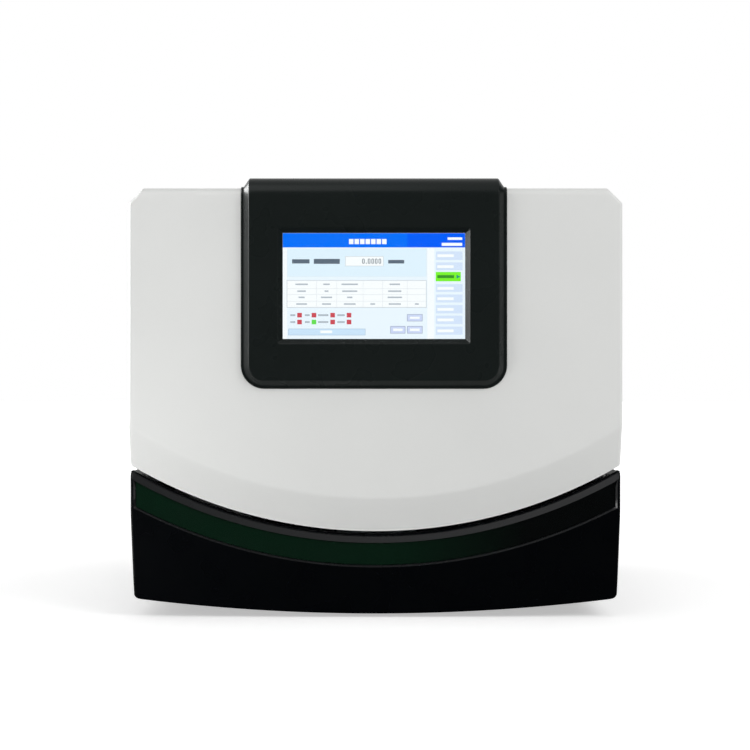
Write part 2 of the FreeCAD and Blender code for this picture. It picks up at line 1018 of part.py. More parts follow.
def make_top_lid():
    body = new_body("top_lid")
    low = LID_SEAT + size.slip
    wall = size.lid_wall
    top = size.top_height
    half = HALF
    cut_off = size.corner_cut
    length = REAR_FACE - LID_FRONT
    outline = [
        (-half, low),
        (half, low),
        (half, top - cut_off),
        (half - cut_off, top),
        (cut_off - half, top),
        (-half, top - cut_off),
    ]
    pad(body, "XZ", LID_FRONT, outline, length)
    inner_half = half - wall
    inner_top = top - wall
    inner_cut = cut_off - wall * (2 - math.sqrt(2))
    inner = [
        (-inner_half, low - wall),
        (inner_half, low - wall),
        (inner_half, inner_top - inner_cut),
        (inner_half - inner_cut, inner_top),
        (inner_cut - inner_half, inner_top),
        (-inner_half, inner_top - inner_cut),
    ]
    pocket(body, "XZ", LID_FRONT + wall, inner, length - 2 * wall)
    node("top_lid", body)


def make_side_panel(name, side, louvre_drop):
    """A folded sheet with a rest for the lid, a step at the base and a flange inside it."""
    body = new_body(name)
    low = curve_height(size.curve_radius, HALF)
    sheet_wall = size.sheet
    flange = base_half(0) - size.base_wall - size.panel_flange_gap
    outline = [
        (HALF, low),
        (HALF, LID_SEAT),
        (HALF - size.panel_rest, LID_SEAT),
        (HALF - size.panel_rest, LID_SEAT - sheet_wall),
        (HALF - sheet_wall, LID_SEAT - sheet_wall),
        (HALF - sheet_wall, low + sheet_wall),
        (flange - sheet_wall, low + sheet_wall),
        (flange - sheet_wall, low - size.panel_flange),
        (flange, low - size.panel_flange),
        (flange, low),
    ]
    length = REAR_INNER - size.slip - LID_FRONT
    pad(body, "XZ", LID_FRONT, [(side * x, z) for x, z in outline], length)
    doc.recompute()
    outside = HALF - size.sheet if side > 0 else -HALF
    start = REAR_INNER - size.louvre_ahead
    foot = LID_SEAT - louvre_drop
    louvre = block_outline(start, foot, start + size.louvre_wide, foot + size.louvre_tall)
    slot = pocket(body, "YZ", outside, louvre, size.sheet)
    row = body.newObject("PartDesign::LinearPattern", "Louvres")
    row.Originals = [slot]
    row.Direction = (slot.Profile[0], ["H_Axis"])
    drive(row, "Length", size.louvre_pitch * (size.louvre_count - 1))
    drive(row, "Occurrences", size.louvre_count)
    body.Tip = row
    node(name, body)


def make_rear_panel():
    body = new_body("rear_panel")
    lower = base_outline(0)
    low = curve_height(size.curve_radius, HALF)
    outline = [
        lower[0],
        lower[1],
        lower[2][:2],
        (HALF, low),
        (HALF, LID_SEAT),
        (-HALF, LID_SEAT),
        (-HALF, low),
        lower[3],
    ]
    pad(body, "XZ", REAR_INNER, outline, size.sheet)

    def hole(x, z, radius):
        return rod(x, REAR_INNER, z, radius, size.sheet, "Y")

    def window(x, z, wide, tall):
        return box(x - wide / 2, REAR_INNER, z - tall / 2, wide, size.sheet, tall)

    openings = [hole(size.fan_x, FAN_Z, size.fan_bore)]
    small = size.fitting_thread + size.slip
    openings += [hole(size.fitting_x, z, small) for z in (size.sample_z, size.gas_z, size.exhaust_z, size.drain_z)]
    inlet_wide = size.inlet_body_wide + 2 * size.slip
    openings.append(window(size.inlet_x, size.inlet_z, inlet_wide, size.inlet_body_tall + 2 * size.slip))
    port_wide = size.port_shell_wide + 2 * size.slip
    openings.append(window(size.port_x, size.port_z, port_wide, size.port_shell_tall + 2 * size.slip))
    node("rear_panel", cut(body, *openings))


def make_hinges():
    """Two external leaf hinges. The lid's knuckle turns between the two knuckles of the fixed leaf."""
    knuckle = size.hinge_knuckle
    clear = knuckle + size.hinge_off
    wide = size.hinge_wide
    tab = size.hinge_tab
    side_knuckle = (wide - tab) / 2 - size.slip

    def bored(x):
        return rod(x - wide / 2, HINGE_Y, LID_SEAT, size.hinge_pin + size.running, wide, "X")

    def knuckle_at(start, long, web_low):
        """A barrel about the pin with the web that ties it to its leaf."""
        barrel = rod(start, HINGE_Y, LID_SEAT, knuckle, long, "X")
        web = box(start, REAR_FACE, web_low, long, size.hinge_leaf, clear)
        return [barrel, web]

    fixed = []
    moving = []
    pins = []
    for x in (-size.hinge_x, size.hinge_x):
        left = x - wide / 2
        right = x + wide / 2
        leaf_tall = size.hinge_leaf_tall - clear
        leaf = box(left, REAR_FACE, LID_SEAT - size.hinge_leaf_tall, wide, size.hinge_leaf, leaf_tall)
        knuckles = knuckle_at(left, side_knuckle, LID_SEAT - clear)
        knuckles += knuckle_at(right - side_knuckle, side_knuckle, LID_SEAT - clear)
        fixed.append(cut(fuse(leaf, *knuckles), bored(x)))
        plate_tall = size.lid_depth - size.corner_cut / 2 - clear
        plate = box(left, REAR_FACE, LID_SEAT + clear, wide, size.hinge_leaf, plate_tall)
        knuckles = knuckle_at(x - tab / 2, tab, LID_SEAT + size.slip)
        moving.append(cut(fuse(plate, *knuckles), bored(x)))
        head = rod(right, HINGE_Y, LID_SEAT, knuckle - size.pin_head_inset, size.pin_head_thick, "X")
        shaft = rod(left, HINGE_Y, LID_SEAT, size.hinge_pin, wide, "X")
        pins.append(fuse(shaft, head))
    node("hinge_leaves_fixed", group(*fixed))
    node("hinge_leaves_lid", group(*moving))
    node("hinge_pins", group(*pins))


# Rear fan


def make_fan():
    x = size.fan_x
    z = FAN_Z
    side = size.fan_side
    front = REAR_INNER - size.fan_depth
    body = box(x - side / 2, front, z - side / 2, side, size.fan_depth, side)
    opening = rod(x, front, z, size.fan_bore, size.fan_depth, "Y")
    struts = [
        box(x - size.fan_bore, front, z - size.fan_strut / 2, 2 * size.fan_bore, size.fan_spider, size.fan_strut),
        box(x - size.fan_strut / 2, front, z - size.fan_bore, size.fan_strut, size.fan_spider, 2 * size.fan_bore),
        rod(x, front, z, size.fan_hub, size.fan_spider, "Y"),
    ]
    bearing = rod(x, front, z, size.fan_shaft + size.running, size.fan_spider, "Y")
    node("fan_frame", cut(fuse(cut(body, opening), *struts), bearing))

    gap = size.fan_end_gap
    hub_y = front + size.fan_spider + gap
    hub_long = size.fan_depth - size.fan_spider - 2 * gap
    hub = rod(x, hub_y, z, size.fan_hub, hub_long, "Y")
    shaft = rod(x, front, z, size.fan_shaft, size.fan_spider + 2 * gap, "Y")
    centre = Vector(x.number, (hub_y + hub_long / 2).number, z.number)
    tilt = Placement(Vector(), Rotation(Vector(1, 0, 0), size.fan_blade_pitch.number))
    root_radius = size.fan_root
    corner = Vector(root_radius.number, -size.fan_blade_chord.number / 2, -size.fan_blade_thick.number / 2)
    blades = []
    for index in range(int(size.fan_blades.number)):
        blade = doc.addObject("Part::Box", "Blade")
        drive(blade, "Length", size.fan_tip - root_radius)
        drive(blade, "Width", size.fan_blade_chord)
        drive(blade, "Height", size.fan_blade_thick)
        spin = Rotation(Vector(0, 1, 0), 360 * index / size.fan_blades.number)
        blade.Placement = Placement(centre, spin).multiply(tilt).multiply(Placement(corner, Rotation()))
        blades.append(blade)
    node("fan_impeller", fuse(hub, shaft, *blades))

    rings = []
    step = (size.fan_bore + size.guard_ring) / size.guard_rings
    for index in range(1, int(size.guard_rings.number) + 1):
        outer = step * index
        rings.append(pipe(x, REAR_FACE, z, outer, outer - size.guard_ring, size.guard_thick, "Y"))
    bars = []
    reach = size.guard_reach
    for turn in (45, 135):
        bar = doc.addObject("Part::Box", "Bar")
        drive(bar, "Length", 2 * reach)
        drive(bar, "Width", size.guard_thick)
        drive(bar, "Height", size.guard_ring)
        spin = Placement(Vector(x.number, REAR_FACE.number, z.number), Rotation(Vector(0, 1, 0), turn))
        bar.Placement = spin.multiply(Placement(Vector(-reach.number, 0, -size.guard_ring.number / 2), Rotation()))
        bars.append(bar)
    node("fan_guard", fuse(*rings, *bars))


# Mains inlet


def make_power_inlet():
    x = size.inlet_x
    z = size.inlet_z
    outer = REAR_FACE + size.inlet_flange
    flange = box(x - size.inlet_wide / 2, REAR_FACE, z - size.inlet_tall / 2, size.inlet_wide, size.inlet_flange,
                 size.inlet_tall)
    rear = box(x - size.inlet_body_wide / 2, REAR_FACE - size.inlet_body_deep, z - size.inlet_body_tall / 2,
               size.inlet_body_wide, size.inlet_body_deep, size.inlet_body_tall)
    socket_z = z - size.socket_drop
    socket = new_body("Socket")
    half = size.socket_wide / 2
    low = socket_z - size.socket_tall / 2
    high = socket_z + size.socket_tall / 2
    shape = [
        (x - half, low),
        (x + half, low),
        (x + half, high - size.socket_cut),
        (x + half - size.socket_cut, high),
        (x - half + size.socket_cut, high),
        (x - half, high - size.socket_cut),
    ]
    pad(socket, "XZ", outer - size.socket_deep, shape, size.socket_deep)
    drawer_z = z + size.drawer_rise
    clear = 2 * size.slip
    bay = box(x - size.drawer_wide / 2 - size.slip, outer - size.drawer_deep - size.slip,
              drawer_z - size.drawer_tall / 2 - size.slip, size.drawer_wide + clear,
              size.drawer_deep + size.slip, size.drawer_tall + clear)
    rocker_z = z + size.rocker_rise
    under = size.rocker_under
    above = size.rocker_above
    well = box(x - size.rocker_wide / 2 - size.slip, outer - size.rocker_deep - under,
               rocker_z - size.rocker_tall / 2 - above, size.rocker_wide + clear, size.rocker_deep + under,
               size.rocker_tall + 2 * above)
    pivot_y = outer - size.rocker_deep / 2
    pivot_long = size.rocker_pin_long
    pivot = rod(x - pivot_long / 2, pivot_y, rocker_z, size.rocker_pin + size.running, pivot_long, "X")
    shell = cut(fuse(flange, rear), socket, bay, well, pivot)
    floor = outer - size.socket_deep
    blades = []
    for off, up in ((-size.blade_spread, 0), (size.blade_spread, 0), (0, size.blade_rise)):
        blade_x = x + off - size.blade_wide / 2
        blade_z = socket_z + up - size.blade_tall / 2
        blades.append(box(blade_x, floor, blade_z, size.blade_wide, size.blade_long, size.blade_tall))
    node("power_inlet", fuse(shell, *blades))

    drawer = box(x - size.drawer_wide / 2, outer - size.drawer_deep, drawer_z - size.drawer_tall / 2,
                 size.drawer_wide, size.drawer_deep, size.drawer_tall)
    grip = box(x - size.drawer_wide / 4, outer, drawer_z - size.drawer_grip, size.drawer_wide / 2,
               size.drawer_grip, 2 * size.drawer_grip)
    node("fuse_drawer", fuse(drawer, grip))

    rocker = new_body("Rocker")
    deep = size.rocker_deep / 2
    tall = size.rocker_tall / 2
    crown = size.rocker_crown
    pad(rocker, "YZ", -size.rocker_wide / 2,
        [(-deep, -tall / 2), (deep - crown, -tall), (deep + crown / 2, 0), (deep - crown, tall), (-deep, tall / 2)],
        size.rocker_wide)
    rocker.Placement = Placement(
        Vector(x.number, pivot_y.number, rocker_z.number),
        Rotation(Vector(1, 0, 0), size.rocker_tilt.number),
    )
    for axis, value in zip("xyz", (x, pivot_y, rocker_z)):
        drive(rocker, f"Placement.Base.{axis}", value)
    pin_long = pivot_long - clear
    pin = rod(x - pin_long / 2, pivot_y, rocker_z, size.rocker_pin, pin_long, "X")
    node("power_rocker", fuse(rocker, pin))


# Rear fittings and port


def bulkhead_fitting(z, bore):
    """A threaded barrel through the panel with a nut on each side and a gland for a tube."""
    x = size.fitting_x
    start = REAR_INNER - size.fitting_inside
    end = REAR_FACE + size.rear_reach
    gland_y = end - size.gland_step - size.gland_long
    solid = fuse(
        rod(x, start, z, size.fitting_thread, gland_y - start, "Y"),
        hexagon(x, REAR_INNER - size.nut_thick, z, size.nut_radius, size.nut_thick),
        hexagon(x, REAR_FACE, z, size.nut_radius, size.nut_thick),
        hexagon(x, gland_y, z, size.gland_radius, size.gland_long),
        rod(x, gland_y, z, size.fitting_thread, end - gland_y, "Y"),
    )
    return cut(solid, rod(x, gland_y - size.nut_thick, z, bore, end - gland_y + size.nut_thick, "Y"))


def drain_outlet(z):
    """A barrel through the panel that ends in a plain spigot for the waste hose."""
    x = size.fitting_x
    start = REAR_INNER - size.fitting_inside
    collar = REAR_FACE + size.nut_thick
    end = REAR_FACE + size.rear_reach
    return fuse(
        rod(x, start, z, size.fitting_thread, collar - start, "Y"),
        hexagon(x, REAR_INNER - size.nut_thick, z, size.nut_radius, size.nut_thick),
        hexagon(x, REAR_FACE, z, size.nut_radius, size.nut_thick),
        rod(x, collar, z, size.drain_collar, size.sheet, "Y"),
        rod(x, collar, z, size.drain_pin, end - collar, "Y"),
    )


def make_fittings():
    node("gas_fittings", group(*[bulkhead_fitting(z, size.gas_bore) for z in (size.gas_z, size.exhaust_z)]))
    node("liquid_fittings", group(bulkhead_fitting(size.sample_z, size.sample_bore), drain_outlet(size.drain_z)))
    x = size.port_x
    z = size.port_z
    flange_y = REAR_INNER - size.sheet
    shell_y = REAR_FACE + size.port_shell_long
    deep = flange_y - size.port_deep
    plate = box(x - size.port_wide / 2, flange_y, z - size.port_tall / 2, size.port_wide, size.sheet, size.port_tall)
    back = box(x - size.port_shell_wide / 2, deep, z - size.port_shell_tall / 2, size.port_shell_wide,
               flange_y - deep, size.port_shell_tall)
    shell = box(x - size.port_shell_wide / 2, REAR_INNER, z - size.port_shell_tall / 2, size.port_shell_wide,
                shell_y - REAR_INNER, size.port_shell_tall)
    wall = size.port_wall
    inside = box(x - size.port_shell_wide / 2 + wall, REAR_INNER, z - size.port_shell_tall / 2 + wall,
                 size.port_shell_wide - 2 * wall, shell_y - REAR_INNER, size.port_shell_tall - 2 * wall)
    node("serial_port", fuse(plate, back, cut(shell, inside)))


# Furnace bay


def make_bulkhead():
    x = BULKHEAD_FACE - size.sheet
    front = REAR_INNER - size.bulkhead_ahead
    depth = size.bulkhead_ahead - size.bulkhead_rear_gap
    plate = box(x, front, TRAY_TOP, size.sheet, depth, LID_SEAT - size.bulkhead_drop - TRAY_TOP)
    foot = box(x, front, TRAY_TOP, size.bulkhead_foot, depth, size.sheet)
    places = [
        (SEPARATOR_Y, size.cooler_z - size.drain_pass_drop),
        (REGULATOR_Y, size.gas_z),
    ]
    holes = [rod(x, y, z, size.pass_hole, size.sheet, "X") for y, z in places]
    node("bulkhead", cut(fuse(plate, foot), *holes))


def make_furnace():
    x = size.furnace_x
    y = FURNACE_Y
    side = size.stand_side
    low = box(x - side / 2, y - side / 2, TRAY_TOP, side, side, size.sheet)
    high = box(x - side / 2, y - side / 2, STAND_TOP - size.sheet, side, side, size.sheet)
    off = side / 2 - 2 * size.stand_post
    posts = [
        rod(x + across * off, y + along * off, TRAY_TOP, size.stand_post, size.stand_height)
        for across in (-1, 1)
        for along in (-1, 1)
    ]
    neck_hole = rod(x, y, TRAY_TOP, size.tube_neck + size.neck_clear, size.stand_height)
    node("furnace_stand", cut(fuse(low, high, *posts), neck_hole))

    wall = size.jacket_wall
    outer = size.jacket_radius
    tall = size.jacket_tall
    jacket = [
        (size.jacket_hole, 0),
        (outer, 0),
        (outer, tall),
        (size.jacket_hole, tall),
        (size.jacket_hole, tall - wall),
        (outer - wall, tall - wall),
        (outer - wall, wall),
        (size.jacket_hole, wall),
    ]
    node("furnace_jacket", turned(x, y, STAND_TOP, jacket))
    fill_low = STAND_TOP + wall + size.slip
    fill_tall = tall - 2 * wall - 2 * size.slip
    fill_radius = outer - wall - size.slip
    node("furnace_insulation", pipe(x, y, fill_low, fill_radius, size.insulation_bore, fill_tall))

    reach = size.insulation_bore - size.slip
    node("heater_sleeve", pipe(x, y, fill_low, reach, size.sleeve_bore, fill_tall))

    radius = size.tube_radius
    inner = radius - size.tube_wall
    neck = size.tube_neck
    neck_bore = neck - size.tube_wall
    shoulder = size.tube_wall
    tube = [
        (neck_bore, -size.tube_neck_long),
        (neck, -size.tube_neck_long),
        (neck, 0),
        (radius, 0),
        (radius, TUBE_TALL),
        (inner, TUBE_TALL),
        (inner, shoulder),
        (neck_bore, shoulder),
    ]
    node("combustion_tube", turned(x, y, STAND_TOP, tube))
    fill = inner - size.slip
    wool = size.wool_tall
    bed_low = STAND_TOP + size.bed_from
    support_low = STAND_TOP + shoulder
    node("catalyst_bed", group(
        rod(x, y, support_low, fill, bed_low - support_low),
        rod(x, y, bed_low, fill, size.bed_tall),
        rod(x, y, bed_low + size.bed_tall, fill, wool),
    ))
    make_injection_head(x, y, STAND_TOP + TUBE_TALL)


def make_injection_head(x, y, rim):
    """A clamp over the tube's rim with a septum cap and two gas ports."""
    outer = size.head_radius
    skirt = size.head_overlap
    bore = size.tube_radius + size.slip
    profile = [
        (bore, -skirt),
        (outer, -skirt),
        (outer, size.head_tall - skirt),
        (size.head_cap, size.head_tall - skirt),
        (size.head_cap, size.head_tall - skirt + size.head_cap_tall),
        (size.sample_bore, size.head_tall - skirt + size.head_cap_tall),
        (size.sample_bore, 0),
        (bore, 0),
    ]
    head = turned(x, y, rim, profile)
    port_z = rim + (size.head_tall - skirt) / 2
    port = rod(x + bore, y, port_z, size.head_port, outer - bore + size.head_port_long, "X")
    node("injection_head", fuse(head, port))


def make_gas_train():
    """Finned condenser and gas-liquid separator beside the furnace."""
    x = size.condenser_x
    y = CONDENSER_Y
    core = size.condenser_core
    sump = size.condenser_sump
    profile = [(0, 0), (sump, 0), (sump, size.condenser_foot), (core, size.condenser_foot)]
    for index in range(int(size.condenser_fins.number)):
        low = size.condenser_foot + size.condenser_pitch * (index + 0.5)
        profile += [
            (core, low),
            (size.condenser_fin, low),
            (size.condenser_fin, low + size.condenser_fin_thick),
            (core, low + size.condenser_fin_thick),
        ]
    top = size.condenser_foot + size.condenser_pitch * (size.condenser_fins + 0.5)
    profile += [(core, top), (size.tube_neck, top + size.tube_neck), (0, top + size.tube_neck)]
    node("condenser", turned(x, y, TRAY_TOP, profile))

    radius = size.separator_radius
    low = size.separator_low
    tall = size.separator_tall
    neck = size.tube_neck
    foot = size.separator_foot
    vessel = [
        (0, 0),
        (radius, 0),
        (radius, foot),
        (neck, foot),
        (neck, low),
        (radius, low + radius),
        (radius, low + tall),
        (neck, low + tall),
        (neck, low + tall + 3 * neck),
        (0, low + tall + 3 * neck),
    ]
    node("gas_liquid_separator", turned(size.separator_x, SEPARATOR_Y, TRAY_TOP, vessel))


def make_coolers_and_filters():
    x = BULKHEAD_FACE
    y = COOLER_Y
    z = size.cooler_z
    side = size.cooler_side
    block = box(x, y, z, size.cooler_block, side, side)
    plate_x = x + size.cooler_block
    plate = box(plate_x, y, z, size.cooler_plate, side, side)
    fins = []
    pitch = (side - size.cooler_fin_thick) / (size.cooler_fins - 1)
    fin_long = size.cooler_plate + size.cooler_fin_long
    for index in range(int(size.cooler_fins.number)):
        fins.append(box(plate_x, y + pitch * index, z, fin_long, size.cooler_fin_thick, side))
    node("peltier_cooler", fuse(block, plate, *fins))

    cap = size.scrubber_cap
    cap_tall = size.scrubber_cap_tall
    radius = size.scrubber_radius
    tall = size.scrubber_tall
    neck = size.filter_neck
    profile = [
        (0, -neck),
        (neck, -neck),
        (neck, 0),
        (cap, 0),
        (cap, cap_tall),
        (radius, cap_tall),
        (radius, tall - cap_tall),
        (cap, tall - cap_tall),
        (cap, tall),
        (neck, tall),
        (neck, tall + neck),
        (0, tall + neck),
    ]
    axis_x = x + size.scrubber_off
    cartridge = turned(axis_x, SCRUBBER_Y, size.scrubber_z, profile)
    clip_y = SCRUBBER_Y - size.clip_tall / 2
    clips = [
        box(x, clip_y, size.scrubber_z + up, size.scrubber_off, size.clip_tall, size.clip_tall)
        for up in (tall / 4, 3 * tall / 4 - size.clip_tall)
    ]
    node("halogen_scrubber", fuse(cartridge, *clips))

    disc = size.filter_thick / 2
    filter_profile = [
        (0, -disc - size.filter_neck_long),
        (neck, -disc - size.filter_neck_long),
        (neck, -disc),
        (size.filter_radius, -disc),
        (size.filter_radius, disc),
        (neck, disc),
        (neck, disc + size.filter_neck_long),
        (0, disc + size.filter_neck_long),
    ]
    filter_body = turned(axis_x, FILTER_Y, size.filter_z, filter_profile)
    holder = box(x, FILTER_Y - disc, size.filter_z - disc / 2, size.scrubber_off, size.filter_thick, disc)
    node("dust_filter", fuse(filter_body, holder))


# Measuring bay


def make_bench():
    """Infrared bench: a sample tube between the source block and the detector block, on a shelf."""
    left = size.shelf_left
    right = size.tray_half - size.sheet - size.slip
    y = REAR_INNER - size.shelf_ahead
    deep = size.shelf_deep
    thick = size.sheet
    top = TRAY_TOP + size.shelf_height
    shelf = box(left, y, top - thick, right - left, deep, thick)
    legs = [box(x, y, TRAY_TOP, thick, deep, size.shelf_height) for x in (left, right - thick)]
    node("bench_shelf", fuse(shelf, *legs))

    side = size.bench_side
    block = size.bench_block
    block_y = y + (deep - side) / 2
    axis_y = y + deep / 2
    axis_z = top + side / 2
    x = size.bench_left
    ends = [box(start, block_y, top, block, side, side) for start in (x, x + size.bench_long - block)]
    cell = rod(x + block, axis_y, axis_z, size.bench_tube, size.bench_long - 2 * block, "X")
    ports = [
        rod(at, axis_y, axis_z, size.bench_port, size.bench_tube + size.bench_port_long)
        for at in (x + block + size.bench_port_off, x + size.bench_long - block - size.bench_port_off)
    ]
    node("ndir_bench", fuse(*ends, cell, *ports))


def make_syringe_pump():
    x = size.pump_x
    y = PUMP_Y
    wide = size.pump_wide
    deep = size.pump_deep
    left = x - wide / 2
    front = y - deep / 2
    back = y + deep / 2
    block = size.pump_block
    deck = PUMP_DECK - block
    upper = PUMP_TOP - block
    run = size.running
    plate = box(left, back, TRAY_TOP, wide, size.pump_back, size.pump_tall)
    foot = box(left, back, TRAY_TOP, wide, block, size.sheet)
    lower_block = box(left, front, deck, wide, deep, block)
    upper_block = box(left, front, upper, wide, deep, block)
    lead_bore = rod(SCREW_X, y, deck, size.lead_radius + run, block)
    lead_top = rod(SCREW_X, y, upper, size.motor_shaft + run, block / 2)
    guide = rod(x, y, PUMP_DECK, size.rod_radius, upper - PUMP_DECK)
    port = rod(SYRINGE_X, y, upper, size.sample_bore, block)
    frame = cut(fuse(plate, foot, lower_block, upper_block), lead_bore, lead_top, port)
    node("pump_frame", fuse(frame, guide))

    side = size.motor_side
    can = new_body("Can")
    half = side / 2
    corner = size.motor_corner
    outline = [
        (SCREW_X - half + corner, y - half),
        (SCREW_X + half - corner, y - half),
        (SCREW_X + half, y - half + corner),
        (SCREW_X + half, y + half - corner),
        (SCREW_X + half - corner, y + half),
        (SCREW_X - half + corner, y + half),
        (SCREW_X - half, y + half - corner),
        (SCREW_X - half, y - half + corner),
    ]
    pad(can, "XY", TRAY_TOP, outline, deck - TRAY_TOP)
    relief = box(SCREW_X - half, back, TRAY_TOP, side, half, deck - TRAY_TOP)
    node("pump_motor", cut(can, relief))

    screw_low = deck + size.slip
    shoulder = upper - size.slip - screw_low
    profile = [
        (0, 0),
        (size.lead_radius, 0),
        (size.lead_radius, shoulder),
        (size.motor_shaft, shoulder),
        (size.motor_shaft, shoulder + block / 2),
        (0, shoulder + block / 2),
    ]
    node("lead_screw", turned(SCREW_X, y, screw_low, profile))

    barrel_low = upper - size.barrel_tall
    radius = size.barrel_radius
    inner = radius - size.barrel_wall
    rim = radius + size.barrel_rim
    barrel = [
        (inner, 0),
        (rim, 0),
        (rim, size.barrel_rim),
        (radius, size.barrel_rim),
        (radius, size.barrel_tall),
        (size.sample_bore, size.barrel_tall),
        (size.sample_bore, size.barrel_tall - size.barrel_wall),
        (inner, size.barrel_tall - size.barrel_wall),
    ]
    node("syringe_barrel", turned(SYRINGE_X, y, barrel_low, barrel))

    carriage_low = PUMP_DECK + size.carriage_rise
    carriage_front = y - size.carriage_deep / 2
    inset = size.carriage_inset
    carriage = box(left + inset, carriage_front, carriage_low, wide - 2 * inset, size.carriage_deep,
                   size.carriage_tall)
    bores = [
        rod(x, y, carriage_low, size.rod_radius + run, size.carriage_tall),
        rod(SCREW_X, y, carriage_low, size.lead_radius + run, size.carriage_tall),
        rod(SYRINGE_X, y, carriage_low, size.plunger_rod, size.carriage_tall),
    ]
    node("pump_carriage", cut(carriage, *bores))

    head_low = barrel_low + size.plunger_in - carriage_low
    plunger = [
        (0, 0),
        (size.plunger_rod, 0),
        (size.plunger_rod, head_low),
        (inner - run, head_low),
        (inner - run, head_low + size.plunger_head),
        (0, head_low + size.plunger_head),
    ]
    node("syringe_plunger", turned(SYRINGE_X, y, carriage_low, plunger))
    make_selector_valve(y)


def make_selector_valve(y):
    """Rotary valve on the pump's top block with its knurled rotor to the front."""
    side = size.valve_side
    x = SYRINGE_X
    axis_z = PUMP_TOP + size.valve_tall / 2
    front = y - side / 2
    body = box(x - side / 2, front, PUMP_TOP, side, side, size.valve_tall)
    ports = [
        rod(x + side / 2, y, axis_z, size.valve_port, size.valve_port_long, "X"),
        rod(x - side / 2 - size.valve_port_long, y, axis_z, size.valve_port, size.valve_port_long, "X"),
        rod(x, y, PUMP_TOP + size.valve_tall, size.valve_port, size.valve_port_long),
    ]
    deep = size.valve_bore_deep
    bore = rod(x, front, axis_z, size.valve_shaft + size.running, deep, "Y")
    node("selector_valve_body", cut(fuse(body, *ports), bore))
    thick = size.valve_disc_thick
    disc_y = front - size.slip - thick
    disc = rod(x, disc_y, axis_z, size.valve_disc, thick, "Y")
    flutes = []
    for index in range(int(size.valve_flutes.number)):
        turn = 2 * math.pi * index / size.valve_flutes.number
        reach = size.valve_disc
        across = x + reach * math.cos(turn)
        up = axis_z + reach * math.sin(turn)
        flutes.append(rod(across, disc_y, up, size.valve_flute, thick, "Y"))
    shaft = rod(x, disc_y + thick / 2, axis_z, size.valve_shaft, thick / 2 + deep, "Y")
    node("selector_valve_rotor", fuse(cut(disc, *flutes), shaft))


def make_bottles():
    radius = size.bottle_radius
    wall = size.bottle_wall
    tall = size.bottle_tall
    neck = size.bottle_neck
    shoulder = tall + size.bottle_shoulder
    rim = shoulder + size.bottle_neck_tall
    floor = size.bottle_floor
    profile = [
        (0, 0),
        (radius, 0),
        (radius, tall),
        (neck, shoulder),
        (neck, rim),
        (neck - wall, rim),
        (neck - wall, shoulder - wall),
        (radius - wall, tall - wall),
        (radius - wall, floor),
        (0, floor),
    ]
    bottle_y = REAR_INNER - size.bottle_ahead
    node("acid_bottle", turned(size.bottle_x, bottle_y, TRAY_TOP, profile))
    cap_low = rim - size.cap_drop
    cap = [
        (neck + size.slip, 0),
        (size.cap_radius, 0),
        (size.cap_radius, size.cap_tall),
        (0, size.cap_tall),
        (0, size.cap_drop),
        (neck + size.slip, size.cap_drop),
    ]
    node("bottle_cap", turned(size.bottle_x, bottle_y, TRAY_TOP + cap_low, cap))

    outer = size.vessel_radius
    inner = outer - size.vessel_wall
    foot = size.vessel_foot_tall
    plug_deep = size.vessel_plug
    lip = outer + size.vessel_cap_lip
    vessel_y = REAR_INNER - size.vessel_ahead
    vessel = [
        (0, 0),
        (size.vessel_foot, 0),
        (outer, foot),
        (outer, size.vessel_tall),
        (inner, size.vessel_tall),
        (inner, foot),
        (0, foot),
    ]
    flask = turned(size.vessel_x, vessel_y, TRAY_TOP, vessel)
    stopper = [
        (0, -plug_deep),
        (inner - size.slip, -plug_deep),
        (inner - size.slip, 0),
        (lip, 0),
        (lip, size.vessel_cap_tall),
        (size.head_port, size.vessel_cap_tall),
        (size.head_port, size.vessel_cap_tall + size.head_port),
        (0, size.vessel_cap_tall + size.head_port),
    ]
    plug = turned(size.vessel_x, vessel_y, TRAY_TOP + size.vessel_tall, stopper)
    node("sparge_vessel", group(flask, plug))


def make_drain_pump():
    """Peristaltic pump: a ring with a three-roller rotor, and its motor behind."""
    x = size.drain_x
    z = size.drain_head_z
    front = REAR_INNER - size.drain_ahead
    back = front + size.ring_deep
    ring = pipe(x, front, z, size.ring_radius, size.ring_bore, size.ring_deep, "Y")
    plate = rod(x, back, z, size.ring_radius, size.back_thick, "Y")
    motor_y = back + size.back_thick
    motor = rod(x, motor_y, z, size.drain_motor, size.drain_motor_long, "Y")
    foot = box(x - size.drain_foot / 2, motor_y, TRAY_TOP, size.drain_foot, size.drain_motor_long, z - TRAY_TOP)
    shaft_bore = rod(x, back, z, size.drain_shaft + size.running, size.drain_bore_deep, "Y")
    node("drain_pump_head", cut(fuse(ring, plate, motor, foot), shaft_bore))

    cheek = size.cheek_thick
    cheek_front = front + size.rotor_gap
    cheek_back = back - size.rotor_gap - cheek
    hub = rod(x, cheek_front, z, size.rotor_hub, cheek_back - cheek_front + cheek, "Y")
    cheeks = [rod(x, at, z, size.cheek_radius, cheek, "Y") for at in (cheek_front, cheek_back)]
    shaft = rod(x, cheek_back, z, size.drain_shaft, back - cheek_back + 2 * size.back_thick, "Y")
    pins = []
    rollers = []
    roller_y = cheek_front + cheek + size.slip
    roller_long = cheek_back - size.slip - roller_y
    for index in range(int(size.roller_count.number)):
        turn = 2 * math.pi * index / size.roller_count.number + math.pi / 2
        across = x + size.roller_orbit * math.cos(turn)
        up = z + size.roller_orbit * math.sin(turn)
        pins.append(rod(across, cheek_front, up, size.roller_pin, cheek_back - cheek_front + cheek, "Y"))
        rollers.append(pipe(across, roller_y, up, size.roller_radius, size.roller_pin + size.running, roller_long, "Y"))
    node("drain_pump_rotor", fuse(hub, shaft, *cheeks, *pins))
    node("drain_pump_rollers", group(*rollers))


